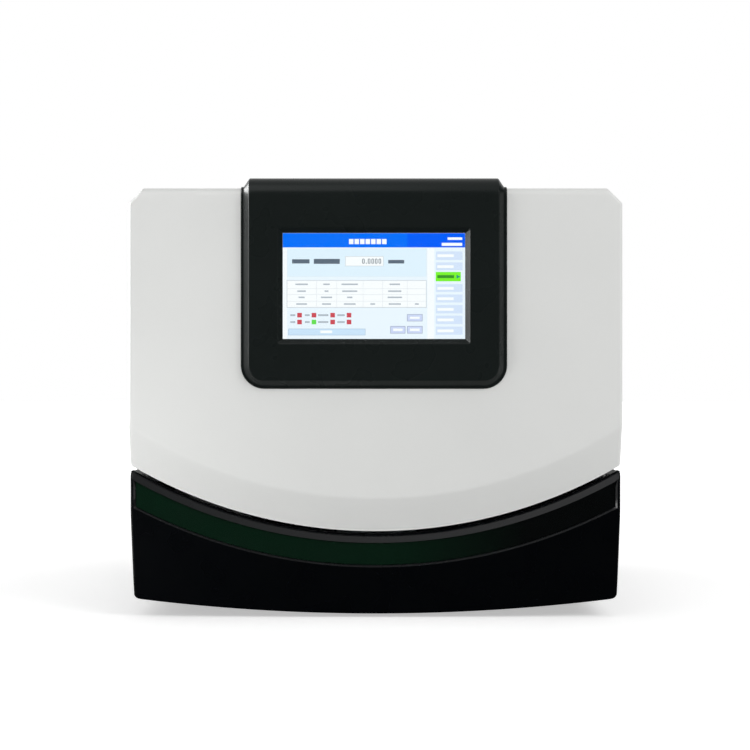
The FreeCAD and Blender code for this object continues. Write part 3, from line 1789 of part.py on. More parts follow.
def make_regulator():
    """Carrier gas regulator on the bulkhead with its knob up, under the lid."""
    side = size.regulator_side
    x = BULKHEAD_FACE + size.regulator_off
    y = REGULATOR_Y
    z = size.regulator_z
    body = box(BULKHEAD_FACE, y - side / 2, z, size.regulator_off + side / 2, side, size.regulator_tall)
    bonnet_z = z + size.regulator_tall
    bonnet = rod(x, y, bonnet_z, size.bonnet_radius, size.bonnet_tall)
    port = rod(x, y, z - size.head_port_long, size.head_port, size.head_port_long)
    outlet_y = y - side / 2 - size.head_port_long
    outlet = rod(x, outlet_y, z + size.regulator_tall / 2, size.head_port, size.head_port_long, "Y")
    bore = rod(x, y, bonnet_z, size.stem_radius + size.running, size.bonnet_tall)
    node("regulator_body", cut(fuse(body, bonnet, port, outlet), bore))
    knob_z = bonnet_z + size.bonnet_tall + size.slip
    knob = rod(x, y, knob_z, size.knob_radius, size.knob_tall)
    flutes = []
    for index in range(int(size.knob_flutes.number)):
        turn = 2 * math.pi * index / size.knob_flutes.number
        across = x + size.knob_radius * math.cos(turn)
        along = y + size.knob_radius * math.sin(turn)
        flutes.append(rod(across, along, knob_z, size.knob_flute, size.knob_tall))
    stem_z = bonnet_z + size.bonnet_tall - size.stem_long
    stem = rod(x, y, stem_z, size.stem_radius, size.stem_long + size.stem_in_knob)
    node("regulator_knob", fuse(cut(knob, *flutes), stem))


# Electronics


def make_electronics():
    x = size.supply_x
    y = REAR_INNER - size.supply_ahead
    case = box(x, y, TRAY_TOP, size.supply_long, size.supply_deep, size.supply_tall)
    slots = []
    pitch = size.supply_long / (size.supply_slots + 1)
    top = TRAY_TOP + size.supply_tall - size.sheet
    for index in range(1, int(size.supply_slots.number) + 1):
        slots.append(box(x + pitch * index, y + size.supply_deep / 4, top, size.supply_slot, size.supply_deep / 2,
                         size.sheet))
    node("power_supply", cut(case, *slots))

    left = size.board_x
    front = REAR_INNER - size.board_ahead
    board_z = TRAY_TOP + size.board_lift
    inset = size.board_inset
    board = box(left, front, board_z, size.board_long, size.board_deep, size.board_thick)
    posts = [
        rod(px, py, TRAY_TOP, size.standoff_radius, size.board_lift)
        for px in (left + inset, left + size.board_long - inset)
        for py in (front + inset, front + size.board_deep - inset)
    ]
    top = board_z + size.board_thick
    chip = size.chip_side
    parts = [
        box(left + chip, front + chip, top, chip, chip, size.chip_thick),
        box(left + 3 * chip, front + chip, top, chip, chip, size.heatsink_tall),
    ]
    for index in range(3):
        plug_x = left + 2 * inset + index * (size.connector_long + 2 * inset)
        plug_y = front + size.board_deep - size.connector_deep
        parts.append(box(plug_x, plug_y, top, size.connector_long, size.connector_deep, size.connector_tall))
    for index in range(3):
        can_y = front + 2 * inset + size.capacitor_radius + index * 3 * size.capacitor_radius
        can_x = left + size.board_long - 3 * inset
        parts.append(rod(can_x, can_y, top, size.capacitor_radius, size.capacitor_tall))
    node("main_board", fuse(board, *posts, *parts))


def make_tubing():
    """Lines from the rear fittings and between the vessels, each from port to port."""
    radius = size.line_radius
    bend = size.line_bend
    inside = REAR_INNER - size.fitting_inside
    regulator_x = BULKHEAD_FACE + size.regulator_off
    head_port_z = STAND_TOP + TUBE_TALL + (size.head_tall - size.head_overlap) / 2
    head_right = size.furnace_x + size.head_radius + size.head_port_long
    separator_top = TRAY_TOP + size.separator_low + size.separator_tall + 3 * size.tube_neck
    condenser_top = (
        TRAY_TOP + size.condenser_foot + size.condenser_pitch * (size.condenser_fins + 0.5) + size.tube_neck
    )
    over_condenser = condenser_top + size.line_rise
    outlet_y = REGULATOR_Y - size.regulator_side / 2 - size.head_port_long
    outlet_z = size.regulator_z + size.regulator_tall / 2
    riser_y = outlet_y - size.riser_off
    valve_top = PUMP_TOP + size.valve_tall + size.valve_port_long
    sample_z = HEAD_TOP + size.line_rise
    lines = [
        [
            (size.condenser_x, CONDENSER_Y, condenser_top),
            (size.condenser_x, CONDENSER_Y, over_condenser),
            (size.separator_x, SEPARATOR_Y, over_condenser),
            (size.separator_x, SEPARATOR_Y, separator_top),
        ],
        [
            (size.fitting_x, inside, size.gas_z),
            (size.fitting_x, REGULATOR_Y, size.gas_z),
            (regulator_x, REGULATOR_Y, size.gas_z),
            (regulator_x, REGULATOR_Y, size.regulator_z - size.head_port_long),
        ],
        [
            (regulator_x, outlet_y, outlet_z),
            (regulator_x, riser_y, outlet_z),
            (regulator_x, riser_y, head_port_z),
            (head_right + size.line_rise, FURNACE_Y, head_port_z),
            (head_right, FURNACE_Y, head_port_z),
        ],
        [
            (SYRINGE_X, PUMP_Y, valve_top),
            (SYRINGE_X, PUMP_Y, sample_z),
            (size.furnace_x, FURNACE_Y, sample_z),
            (size.furnace_x, FURNACE_Y, HEAD_TOP),
        ],
    ]
    pieces = [tube_along(line, radius, bend) for line in lines]
    node("gas_lines", group(*pieces))


def build():
    make_front_cover()
    make_screen_bezel()
    make_display()
    make_base_shell()
    make_tray_and_feet()
    make_top_lid()
    make_side_panel("left_panel", -1, size.louvre_left_drop)
    make_side_panel("right_panel", 1, size.louvre_right_drop)
    make_rear_panel()
    make_hinges()
    make_fan()
    make_power_inlet()
    make_fittings()
    make_bulkhead()
    make_furnace()
    make_gas_train()
    make_coolers_and_filters()
    make_bench()
    make_syringe_pump()
    make_bottles()
    make_drain_pump()
    make_regulator()
    make_electronics()
    make_tubing()


def check():
    """Stops before anything is written if a step of the model failed."""
    for thing in doc.Objects:
        if "Invalid" in thing.State or "Error" in thing.State:
            raise RuntimeError(f"{thing.Label} ({thing.Name}) is {thing.State}")
    for name, piece in NODES.items():
        if piece.Shape.isNull() or not piece.Shape.isValid():
            raise RuntimeError(f"{name} has no valid shape")
        if not piece.Shape.Solids:
            raise RuntimeError(f"{name} has no solid")


build()
doc.recompute()
check()
os.makedirs("parts", exist_ok=True)
for name, piece in NODES.items():
    piece.Shape.exportStep(f"parts/{name}.step")
print(len(NODES), "nodes")
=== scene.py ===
import math

import bmesh
import bpy
import numpy as np
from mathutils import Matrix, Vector
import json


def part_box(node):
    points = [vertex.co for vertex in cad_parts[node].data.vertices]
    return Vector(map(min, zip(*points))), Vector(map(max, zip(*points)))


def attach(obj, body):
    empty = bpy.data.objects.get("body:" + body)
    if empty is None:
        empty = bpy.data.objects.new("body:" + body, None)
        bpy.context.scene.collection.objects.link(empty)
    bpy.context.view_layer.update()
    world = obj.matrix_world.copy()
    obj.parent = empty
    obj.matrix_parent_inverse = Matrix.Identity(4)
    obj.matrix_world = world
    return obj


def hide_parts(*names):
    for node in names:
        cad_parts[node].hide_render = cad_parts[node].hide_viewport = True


bl_info = {
    "name": "Carbon Analyzer Looks",
    "version": (1, 0, 0),
    "blender": (4, 5, 0),
    "location": "View3D > Sidebar > Analyzer",
    "description": "Finishes, front skins and studio for a bench-top carbon analyzer",
    "category": "Object",
}

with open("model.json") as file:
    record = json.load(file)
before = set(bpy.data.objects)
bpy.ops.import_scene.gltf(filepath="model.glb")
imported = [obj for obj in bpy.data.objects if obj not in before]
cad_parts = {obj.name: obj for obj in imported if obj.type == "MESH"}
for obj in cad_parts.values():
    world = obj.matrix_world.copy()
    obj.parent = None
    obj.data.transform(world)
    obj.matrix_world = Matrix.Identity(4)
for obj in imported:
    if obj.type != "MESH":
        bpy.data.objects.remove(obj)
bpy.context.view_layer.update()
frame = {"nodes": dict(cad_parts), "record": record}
NODES = frame["nodes"]
SLOT_OF = {part["node"]: part["material_slot"] for part in frame["record"]["subparts"]}


def corners(node):
    """The low and the high corner of a solid's box, in millimetres."""
    return tuple(np.array(corner) * 1000 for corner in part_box(node))


# Places in millimetres, as the solids have them.
COVER_LOW, COVER_HIGH = corners("front_cover")
BEZEL_LOW, BEZEL_HIGH = corners("screen_bezel")
STRIP_HIGH = corners("gloss_strip")[1]
PANEL_LOW, PANEL_HIGH = corners("lcd_module")
GUARD_MIDDLE = sum(corners("fan_guard")) / 2
SCREW_LOW, SCREW_HIGH = corners("lead_screw")
REAR_FACE = corners("rear_panel")[1][1]
COVER_FACE = COVER_LOW[1]

# Forms of the front, in millimetres.
CURVE_RADIUS = 417.0
CURVE_CENTRE = COVER_LOW[2] + CURVE_RADIUS
CORNER_CUT = 13.0
COVER_ROUND = 3.0
COVER_CORNER = 3.5
TOP_ROLL = 6.5
BAND_HEIGHT = 29.0
BAND_DEPTH = 12.0
MODULE_MARGIN = 4.6
WINDOW = (
    PANEL_LOW[0] + MODULE_MARGIN,
    PANEL_LOW[2] + MODULE_MARGIN,
    PANEL_HIGH[0] - MODULE_MARGIN,
    PANEL_HIGH[2] - MODULE_MARGIN,
)


def linear(red, green, blue):
    """A display colour from 0 to 255 as linear light with full alpha."""
    share = np.array([red, green, blue]) / 255
    light = np.where(share <= 0.04045, share / 12.92, ((share + 0.055) / 1.055) ** 2.4)
    return (*light.tolist(), 1.0)


# Finishes


class Finish:
    """One material under construction. Every pattern reads Object coordinates."""

    def __init__(self, name, colour, roughness, metallic=0.0, specular=0.5):
        self.material = bpy.data.materials.new(name)
        self.material.use_nodes = True
        self.tree = self.material.node_tree
        self.shader = self.tree.nodes["Principled BSDF"]
        self.place = self.add("TexCoord").outputs["Object"]
        self.shader.inputs["Base Color"].default_value = colour
        self.shader.inputs["Roughness"].default_value = roughness
        self.shader.inputs["Metallic"].default_value = metallic
        self.shader.inputs["Specular IOR Level"].default_value = specular
        self.material.diffuse_color = colour

    def add(self, kind, settings=None, **values):
        made = self.tree.nodes.new("ShaderNode" + kind)
        for name, value in (settings or {}).items():
            setattr(made, name, value)
        for name, value in values.items():
            socket = made.inputs[name]
            if isinstance(value, bpy.types.NodeSocket):
                self.tree.links.new(value, socket)
            else:
                socket.default_value = value
        return made

    def stretched(self, stretch, turn=(0, 0, 0)):
        """Object coordinates stretched along each axis, for grain that runs one way."""
        return self.add("Mapping", Vector=self.place, Scale=stretch, Rotation=turn).outputs["Vector"]

    def noise(self, scale, detail=2.0, where=None, roughness=0.5):
        values = {"Vector": where or self.place, "Scale": scale, "Detail": detail, "Roughness": roughness}
        return self.add("TexNoise", **values).outputs["Fac"]

    def cells(self, scale, feature="F1", where=None):
        made = self.add("TexVoronoi", {"feature": feature}, Vector=where or self.place, Scale=scale)
        return made.outputs["Distance"]

    def ramp(self, factor, stops):
        made = self.add("ValToRGB", Fac=factor)
        elements = made.color_ramp.elements
        while len(elements) < len(stops):
            elements.new(0.5)
        for element, (at, colour) in zip(elements, stops):
            element.position = at
            element.color = colour
        return made.outputs["Color"]

    def between(self, factor, low, high):
        """The factor's middle half spread over low to high, as one number."""
        made = self.add("MapRange", Value=factor)
        made.inputs["From Min"].default_value = 0.3
        made.inputs["From Max"].default_value = 0.7
        made.inputs["To Min"].default_value = low
        made.inputs["To Max"].default_value = high
        return made.outputs["Result"]

    def colour(self, socket):
        self.tree.links.new(socket, self.shader.inputs["Base Color"])

    def rough(self, socket):
        self.tree.links.new(socket, self.shader.inputs["Roughness"])

    def bump(self, height, strength, distance, before=None):
        made = self.add("Bump", Height=height, Strength=strength, Distance=distance)
        if before is not None:
            self.tree.links.new(before, made.inputs["Normal"])
        self.tree.links.new(made.outputs["Normal"], self.shader.inputs["Normal"])
        return made.outputs["Normal"]


def shade(colour, share):
    """The colour made lighter or darker by a share."""
    return tuple(min(value * share, 1.0) for value in colour[:3]) + (1.0,)


def moulded(name, colour, roughness, specular, grain_scale, grain_height, spread=0.06):
    """Moulded or powder-coated skin: a fine grain over a faint cloud of lighter and darker areas."""
    made = Finish(name, colour, roughness, specular=specular)
    cloud = made.noise(9.0, 3.0)
    made.colour(made.ramp(cloud, [(0.3, shade(colour, 1 - spread)), (0.7, shade(colour, 1 + spread))]))
    made.rough(made.between(made.noise(35.0, 2.0), roughness * 0.93, roughness * 1.07))
    made.bump(made.noise(grain_scale, 2.0), 0.35, grain_height)
    return made.material


def worked_metal(name, colour, roughness, stretch, scratches=900.0, depth=0.00002, spread=0.08):
    """Bare metal with tool marks that run along the axis stretched least."""
    made = Finish(name, colour, roughness, metallic=1.0)
    marks = made.noise(scratches, 3.0, made.stretched(stretch))
    made.colour(made.ramp(made.noise(22.0, 4.0), [(0.3, shade(colour, 1 - spread)), (0.7, shade(colour, 1 + spread))]))
    made.rough(made.between(marks, roughness * 0.75, roughness * 1.25))
    made.bump(marks, 0.4, depth)
    return made.material


def plated_steel():
    """Zinc-plated sheet with its spangle of pale and dark crystals."""
    base = linear(176, 180, 184)
    made = Finish("zinc_sheet", base, 0.36, metallic=1.0)
    spangle = made.add("TexVoronoi", Vector=made.place, Scale=85.0).outputs["Color"]
    tone = made.add("SeparateColor", Color=spangle).outputs["Red"]
    made.colour(made.ramp(tone, [(0.0, linear(150, 154, 160)), (1.0, linear(196, 199, 202))]))
    made.rough(made.between(tone, 0.3, 0.42))
    made.bump(made.noise(700.0, 2.0), 0.2, 0.00002)
    return made.material


def clear(name, tint, roughness, smear):
    """Clear glass or plastic, slightly smeared so that it isn't perfectly even."""
    made = Finish(name, tint, roughness)
    made.shader.inputs["Transmission Weight"].default_value = 1.0
    made.shader.inputs["IOR"].default_value = 1.46
    made.rough(made.between(made.noise(60.0, 3.0), roughness, roughness + smear))
    return made.material


def ceramic():
    """Pressed white fibre with a fibrous, slightly yellow surface."""
    made = Finish("fibre_ceramic", linear(226, 221, 208), 0.85, specular=0.2)
    fibres = made.noise(260.0, 6.0, made.stretched((1, 1, 6)))
    made.colour(made.ramp(fibres, [(0.3, linear(205, 196, 176)), (0.65, linear(235, 231, 220))]))
    made.bump(fibres, 0.6, 0.0003)
    return made.material


def catalyst():
    """Packed grey beads, with painted shade darkening the gaps between them."""
    made = Finish("catalyst_beads", linear(150, 150, 146), 0.7)
    bead_bumps_and_painted_shade = made.cells(380.0)
    # Painted shade: the beads are pale at their middles and darker toward the gaps between them.
    made.colour(made.ramp(bead_bumps_and_painted_shade, [(0.0, linear(172, 170, 164)), (0.7, linear(64, 62, 60))]))
    made.bump(bead_bumps_and_painted_shade, 0.8, 0.0008)
    return made.material


def rubber():
    made = Finish("rubber_black", linear(30, 30, 31), 0.82, specular=0.25)
    grain = made.noise(420.0, 3.0)
    made.colour(made.ramp(grain, [(0.3, linear(24, 24, 25)), (0.7, linear(38, 38, 39))]))
    made.bump(grain, 0.5, 0.0001)
    return made.material


def brass():
    made = Finish("brass_turned", linear(196, 164, 98), 0.28, metallic=1.0)
    tarnish = made.noise(70.0, 4.0)
    made.colour(made.ramp(tarnish, [(0.3, linear(164, 130, 70)), (0.65, linear(206, 174, 106))]))
    made.rough(made.between(made.noise(900.0, 2.0, made.stretched((1, 8, 1))), 0.2, 0.34))
    return made.material


def circuit_board():
    """Green solder mask over copper tracks."""
    made = Finish("board_green", linear(16, 84, 48), 0.35)
    tracks = made.add("TexBrick", {"offset": 0.37, "squash": 0.7, "squash_frequency": 3}, Vector=made.place)
    tracks.inputs["Scale"].default_value = 260.0
    tracks.inputs["Mortar Size"].default_value = 0.06
    tracks.inputs["Color1"].default_value = linear(14, 78, 44)
    tracks.inputs["Color2"].default_value = linear(18, 88, 50)
    tracks.inputs["Mortar"].default_value = linear(38, 122, 72)
    made.colour(tracks.outputs["Color"])
    made.bump(tracks.outputs["Fac"], 0.3, 0.00003)
    return made.material


def tubing():
    """Milky fluoropolymer tube that lets light through."""
    made = Finish("tube_milky", linear(226, 230, 232), 0.25)
    made.shader.inputs["Transmission Weight"].default_value = 0.35
    cloud = made.noise(120.0, 3.0)
    made.colour(made.ramp(cloud, [(0.3, linear(214, 219, 222)), (0.7, linear(236, 239, 240))]))
    return made.material


def gloss_black():
    """Lacquered strip: a painted green reflection that fades toward its right end, and long shallow waves in its
    gloss.
    """
    # Painted reflection: the green base colour, and the ramp below that takes it from green at the left to near black
    # at the right along x.
    made = Finish("strip_gloss", linear(9, 24, 16), 0.09, specular=1.0)
    painted_reflection_fade = made.add("MapRange", Value=made.add("SeparateXYZ", Vector=made.place).outputs["X"])
    painted_reflection_fade.inputs["From Min"].default_value = 0.01
    painted_reflection_fade.inputs["From Max"].default_value = 0.13
    made.colour(made.ramp(painted_reflection_fade.outputs["Result"], [(0.0, linear(10, 32, 20)), (1.0, linear(7, 9, 9))]))
    waves = made.noise(14.0, 1.0, made.stretched((1, 1, 2.5)))
    made.rough(made.between(made.noise(50.0, 2.0), 0.06, 0.12))
    made.bump(waves, 0.5, 0.002)
    return made.material


def steel_turned(name, tone):
    return worked_metal(name, linear(tone, tone, tone + 2), 0.3, (1, 1, 14))


WHITE = linear(232, 233, 231)
BEZEL_BLACK = linear(25, 30, 29)
BASE_BLACK = linear(2, 4, 7)

FINISHES = {
    "touch_glass": lambda: clear("glass_clear", linear(246, 250, 250), 0.02, 0.02),
    "sheet_steel": plated_steel,
    "stainless": lambda: steel_turned("stainless_brushed", 196),
    "aluminium": lambda: worked_metal("aluminium_milled", linear(204, 206, 208), 0.34, (12, 1, 1)),
    "rubber": rubber,
    "black_plastic": lambda: moulded("plastic_black", linear(34, 34, 36), 0.42, 0.5, 1200.0, 0.00005),
    "white_plastic": lambda: moulded("plastic_white", linear(228, 228, 224), 0.4, 0.5, 900.0, 0.00003, 0.02),
    "ceramic": ceramic,
    "quartz": lambda: clear("quartz_clear", linear(240, 246, 250), 0.03, 0.05),
    "catalyst": catalyst,
    "brass": brass,
    "circuit_board": circuit_board,
    "tubing": tubing,
    "gloss_black": gloss_black,
    "display": lambda: moulded("display_dark", linear(12, 13, 15), 0.4, 0.4, 900.0, 0.00002),
}


def put(piece, material):
    piece.data.materials.clear()
    piece.data.materials.append(material)


# Meshes


def mesh_object(name, points, faces):
    """A piece from an array of points (n, 3) in metres and its faces."""
    mesh = bpy.data.meshes.new(name)
    mesh.from_pydata(points.tolist(), [], faces)
    mesh.update()
    piece = bpy.data.objects.new(name, mesh)
    bpy.context.scene.collection.objects.link(piece)
    return piece


def tiles(rows):
    """Closed blocks from rows of (x low, x high, y front, y back, z low, z high).

    Corner number c of a block takes its x from bit 0 of c, its y from bit 1 and its z from bit 2.
    """
    rows = np.asarray(rows, float)
    corner = np.arange(8)
    picks = np.stack([corner & 1, 2 + (corner >> 1 & 1), 4 + (corner >> 2 & 1)], axis=1)
    points = rows[:, picks].reshape(-1, 3)
    sides = np.array([[0, 1, 5, 4], [3, 2, 6, 7], [2, 0, 4, 6], [1, 3, 7, 5], [4, 5, 7, 6], [2, 3, 1, 0]])
    faces = (sides[None] + 8 * np.arange(len(rows))[:, None, None]).reshape(-1, 4)
    return points, faces


def build(name, points, cells):
    """A smooth closed piece from points in millimetres and four-cornered cells, welded where points meet.

    A cell with two corners in one place is a triangle, and one with fewer than three places is left out.
    """
    spots = np.round(points, 4)
    _, first, same = np.unique(spots, axis=0, return_index=True, return_inverse=True)
    cells = same.reshape(-1)[cells]
    doubled = cells == np.roll(cells, -1, axis=1)
    count = doubled.sum(axis=1)
    three = cells[count == 1][~doubled[count == 1]].reshape(-1, 3)
    used = np.unique(np.concatenate([cells[count == 0].ravel(), three.ravel()]))
    place = np.zeros(len(first), int)
    place[used] = np.arange(len(used))
    faces = place[cells[count == 0]].tolist() + place[three].tolist()
    piece = mesh_object(name, points[first][used] / 1000, faces)
    shell_mesh = bmesh.new()
    shell_mesh.from_mesh(piece.data)
    bmesh.ops.recalc_face_normals(shell_mesh, faces=shell_mesh.faces)
    shell_mesh.to_mesh(piece.data)
    shell_mesh.free()
    piece.data.polygons.foreach_set("use_smooth", np.ones(len(piece.data.polygons), bool))
    piece.data.set_sharp_from_angle(angle=math.radians(32))
    return piece


def grid_cells(rows, columns):
    """The cells of a grid of points that are counted row by row."""
    spot = np.arange(rows * columns).reshape(rows, columns)
    return np.stack([spot[:-1, :-1], spot[:-1, 1:], spot[1:, 1:], spot[1:, :-1]], axis=-1)


def joined(name, sheets):
    """One piece from several sheets of points (rows, columns, 3) that meet along their edges."""
    starts = np.cumsum([0] + [sheet.size // 3 for sheet in sheets])
    cells = [grid_cells(*sheet.shape[:2]).reshape(-1, 4) + start for sheet, start in zip(sheets, starts)]
    return build(name, np.concatenate([sheet.reshape(-1, 3) for sheet in sheets]), np.concatenate(cells))


def shell(name, outer, inner, keep):
    """A closed wall between two matched sheets of points (rows, columns, 3).

    The cells where keep is false stay open, and every open edge gets a strip from sheet to sheet.
    """
    size = outer.size // 3
    cells = grid_cells(*outer.shape[:2])[keep]
    spots = np.round(outer.reshape(-1, 3), 4)
    _, first, same = np.unique(spots, axis=0, return_index=True, return_inverse=True)
    cells = first[same.reshape(-1)[cells]]
    distinct = (cells != np.roll(cells, -1, axis=1)).sum(axis=1) > 2
    cells = cells[distinct]
    start = cells.ravel()
    end = np.roll(cells, -1, axis=1).ravel()
    real = start != end
    alone = real & ~np.isin(start * size + end, end[real] * size + start[real])
    start, end = start[alone], end[alone]
    strips = np.stack([end, start, start + size, end + size], axis=1)
    points = np.concatenate([outer.reshape(-1, 3), inner.reshape(-1, 3)])
    return build(name, points, np.concatenate([cells, cells[:, ::-1] + size, strips]))


def skirted(face, levels):
    """The face with its four edges carried straight back to each level of y in turn."""
    count = len(levels)
    whole = np.pad(face, ((count, count), (count, count), (0, 0)), mode="edge")
    rows, columns = whole.shape[:2]
    row = np.abs(np.arange(rows) - (rows - 1) / 2) - (rows - 1) / 2 + count
    column = np.abs(np.arange(columns) - (columns - 1) / 2) - (columns - 1) / 2 + count
    layer = np.maximum(row[:, None], column[None])
    for index, level in enumerate(levels):
        whole[..., 1] = np.where(layer > index + 0.5, level, whole[..., 1])
    return whole


def roundover(distance, radius):
    """How far a quarter-round edge falls back at a distance from it: radius less the height of a circle."""
    inward = np.clip(radius - distance, 0, radius)
    return radius - np.sqrt(radius**2 - inward**2)


def steps_in(radius, count):
    """Distances from an edge that share out its quarter circle evenly."""
    return radius * (1 - np.cos(np.linspace(0, math.pi / 2, count)))


def both_sides(half, distances, *between):
    """Places across from -half to half, dense at the given distances from either side."""
    return np.unique(np.round(np.concatenate([distances - half, half - distances, *between]), 5))


def arc_points(x, y, radius, start, finish, count):
    """Points on an arc about (x, y), its angles in degrees, as an array (count, 2)."""
    turn = np.radians(np.linspace(start, finish, count))
    return np.stack([x + radius * np.cos(turn), y + radius * np.sin(turn)], axis=1)


# Screen picture. Places are counted on a panel of 1024 by 600 dots from its upper left corner.

DOTS = (1024, 600)
INK = {
    "page": (238, 247, 255),
    "gap": (251, 253, 255),
    "card": (227, 243, 254),
    "header": (2, 112, 250),
    "header_right": (1, 94, 250),
    "white": (253, 254, 255),
    "line": (196, 202, 210),
    "soft_line": (222, 226, 231),
    "label": (96, 108, 122),
    "faint": (176, 184, 194),
    "red": (208, 78, 88),
    "green": (104, 222, 84),
    "bright": (124, 244, 44),
    "dark_green": (58, 150, 40),
    "teal": (30, 150, 128),
    "wide": (206, 229, 250),
    "wide_edge": (150, 178, 206),
    "button": (208, 217, 246),
    "button_edge": (150, 160, 190),
    "side": (215, 229, 250),
}


def screen_rows():
    """The picture's blocks in painting order: (left, top, right, bottom, ink)."""
    rows = [(0, 0, 1024, 600, "page"), (812, 84, 851, 600, "gap"), (0, 84, 24, 600, "gap")]
    rows += [(0, 0, 1024, 81, "header"), (700, 0, 1024, 81, "header_right")]
    rows += [(372 + 31 * n, 33, 397 + 31 * n, 62, "white") for n in range(7)]
    rows += [(926, 24, 1008, 38, "white"), (893, 55, 1008, 72, "white")]
    rows += [(24, 88, 808, 247, "soft_line"), (25, 89, 807, 246, "card")]
    rows += [(52, 148, 150, 172, "label"), (174, 146, 320, 174, "label")]
    rows += [(351, 131, 566, 187, "line"), (353, 133, 564, 185, "white")]
    rows += [(592, 152, 682, 172, "label")]
    rows += [(22, 267, 808, 423, "line"), (25, 270, 805, 420, "white")]
    for level in (314, 347, 385):
        rows.append((25, level, 805, level + 2, "soft_line"))
    columns = (22, 189, 302, 450, 560, 698, 808)
    for left in columns[1:-1]:
        rows.append((left, 270, left + 2, 420, "soft_line"))
    widths = ((70, 36, 92, 0, 58, 0), (48, 22, 84, 0, 74, 0), (34, 62, 30, 0, 80, 0), (60, 50, 66, 26, 68, 22))
    for top, line in zip((286, 325, 360, 398), widths):
        for left, right, wide in zip(columns, columns[1:], line):
            middle = (left + right) / 2
            if wide:
                rows.append((middle - wide / 2, top, middle + wide / 2, top + 8, "faint"))
    for index, x in enumerate((94, 175, 280, 372)):
        for row, y in enumerate((465, 504)):
            ink = "green" if (index, row) == (1, 1) else "red"
            rows.append((x - 13, y - 13, x + 13, y + 13, ink))
            wide = (28, 27, 58, 42)[index]
            rows.append((x - 24 - wide, y - 5, x - 24, y + 5, "faint"))
    rows += [(31, 542, 464, 579, "wide_edge"), (33, 544, 462, 577, "wide"), (211, 552, 277, 567, "white")]
    for left, top, right, bottom in ((698, 460, 785, 500), (604, 527, 689, 569), (698, 527, 785, 569)):
        rows.append((left, top, right, bottom, "button_edge"))
        rows.append((left + 3, top + 3, right - 3, bottom - 3, "button"))
        rows.append((left + 16, top + 14, right - 16, bottom - 14, "white"))
    tops = (104, 166, 220, 289, 348, 408, 468, 530)
    bottoms = (152, 211, 273, 333, 393, 455, 515, 576)
    for index, (top, bottom) in enumerate(zip(tops, bottoms)):
        if index == 2:
            rows.append((859, top, 1000, bottom, "bright"))
            rows.append((868, top + 18, 962, bottom - 18, "dark_green"))
            rows += [(984 - 4 * n, top + 26 - 4 * n, 988 - 4 * n + 4, top + 28 + 4 * n, "teal") for n in (0, 1, 2, -1)]
            continue
        rows.append((860, top, 1010, bottom, "side"))
        rows.append((868, top + 16, 960, top + 32, "white"))
    return rows


def numeral_rows():
    """A plain reading of 0.0000: each nought is four bars round a hole."""
    rows = []
    across = [446, 478, 498, 518, 538]
    for left in across:
        rows += [(left, 148, left + 4, 170, "label"), (left + 10, 148, left + 14, 170, "label")]
        rows += [(left + 3, 145, left + 11, 149, "label"), (left + 3, 169, left + 11, 173, "label")]
    rows.append((467, 168, 472, 173, "label"))
    return rows


# Front cover


def band_back(rise, soft):
    """How far the cover's slanted band lies back at a rise above its lower edge.

    A straight slope falls back below the crease, which a parabola eases, as far as a narrow upright land.
    """
    below = BAND_HEIGHT - rise
    eased = np.where(np.abs(below) < soft, (below + soft) ** 2 / (4 * soft), np.clip(below, 0, None))
    return np.minimum(eased * BAND_DEPTH / (BAND_HEIGHT - 1.3), BAND_DEPTH)


def cover_sheet(inset, soft):
    """Outer skin of the cover, or one set in by its wall, on a grid of places across by rows up.

    The lower rows are circles about one centre, the next ones ease them into level rows round the
    screen, and the last follow the top edge with its two corner cuts. Each place lies back by the
    band and by the largest of the edges' roundings.
    """
    half = COVER_HIGH[0] - inset
    radius = CURVE_RADIUS - inset
    top = COVER_HIGH[2] - inset
    cut = CORNER_CUT - inset * (2 - math.sqrt(2))
    across = COVER_ACROSS * half / COVER_HIGH[0]
    reach = np.abs(across)
    rises = np.array(COVER_RISES)
    circles = CURVE_CENTRE - np.sqrt((radius - rises[:, None]) ** 2 - across**2)
    corner = np.clip(reach - (half - COVER_CORNER), 0, COVER_CORNER)
    lift = np.clip(2.02 + circles[0, -1] - np.sqrt(COVER_CORNER**2 - corner**2) - circles[0], 0, None)
    circles = circles + np.where(reach > half - 1.8, lift, 0) * np.clip(1 - rises[:, None] / 8, 0, 1)
    levels = np.array(HOLE_LEVELS)[:, None] + 0 * across
    share = np.linspace(0, 1, 10)[1:-1, None]
    eased = circles[-1] * (1 - share) + levels[0] * share
    edge = top - np.clip(reach - (half - cut), 0, None)
    upper = edge - np.concatenate([[8.0], steps_in(TOP_ROLL, 8)[::-1]])[:, None]
    z = np.concatenate([circles, eased, levels, upper])
    rise = np.full(len(z), 100.0)
    rise[: len(rises)] = rises
    side = roundover(half - reach, COVER_ROUND)
    slanted = roundover((top + half - cut - reach - z) / math.sqrt(2), COVER_ROUND)
    rounded = np.maximum(np.maximum(side, slanted), roundover(top - z, TOP_ROLL))
    back = rounded + (band_back(rise, soft) + roundover(rise, 0.5))[:, None]
    x = across + 0 * z
    return np.stack([x, COVER_FACE + inset + back, z], axis=-1)


SCREEN_HOLE = (WINDOW[0] - 16, WINDOW[1] - 16, WINDOW[2] + 16, WINDOW[3] + 16)
COVER_ACROSS = both_sides(
    COVER_HIGH[0],
    np.concatenate([steps_in(COVER_ROUND, 7), [3.8, 5, 6.5, 8, 10, 12, 13, 14, 16, 19, 24, 30, 36, 43]]),
    np.linspace(-160, SCREEN_HOLE[0], 12),
    np.linspace(SCREEN_HOLE[0], SCREEN_HOLE[2], 34),
    np.linspace(SCREEN_HOLE[2], 160, 12),
)
COVER_RISES = (0, 0.07, 0.25, 0.5, 0.9, 1.3, 1.8, 4, 8, 12, 16, 20, 23, 25, 26, 27, 28, 29, 30, 31, 32, 33, 35, 38)
HOLE_LEVELS = (214.0, *np.linspace(SCREEN_HOLE[1], SCREEN_HOLE[3], 16).tolist())


# Screen bezel. Places are counted on its sheet laid flat: across, along from its foot, and height above the cover.

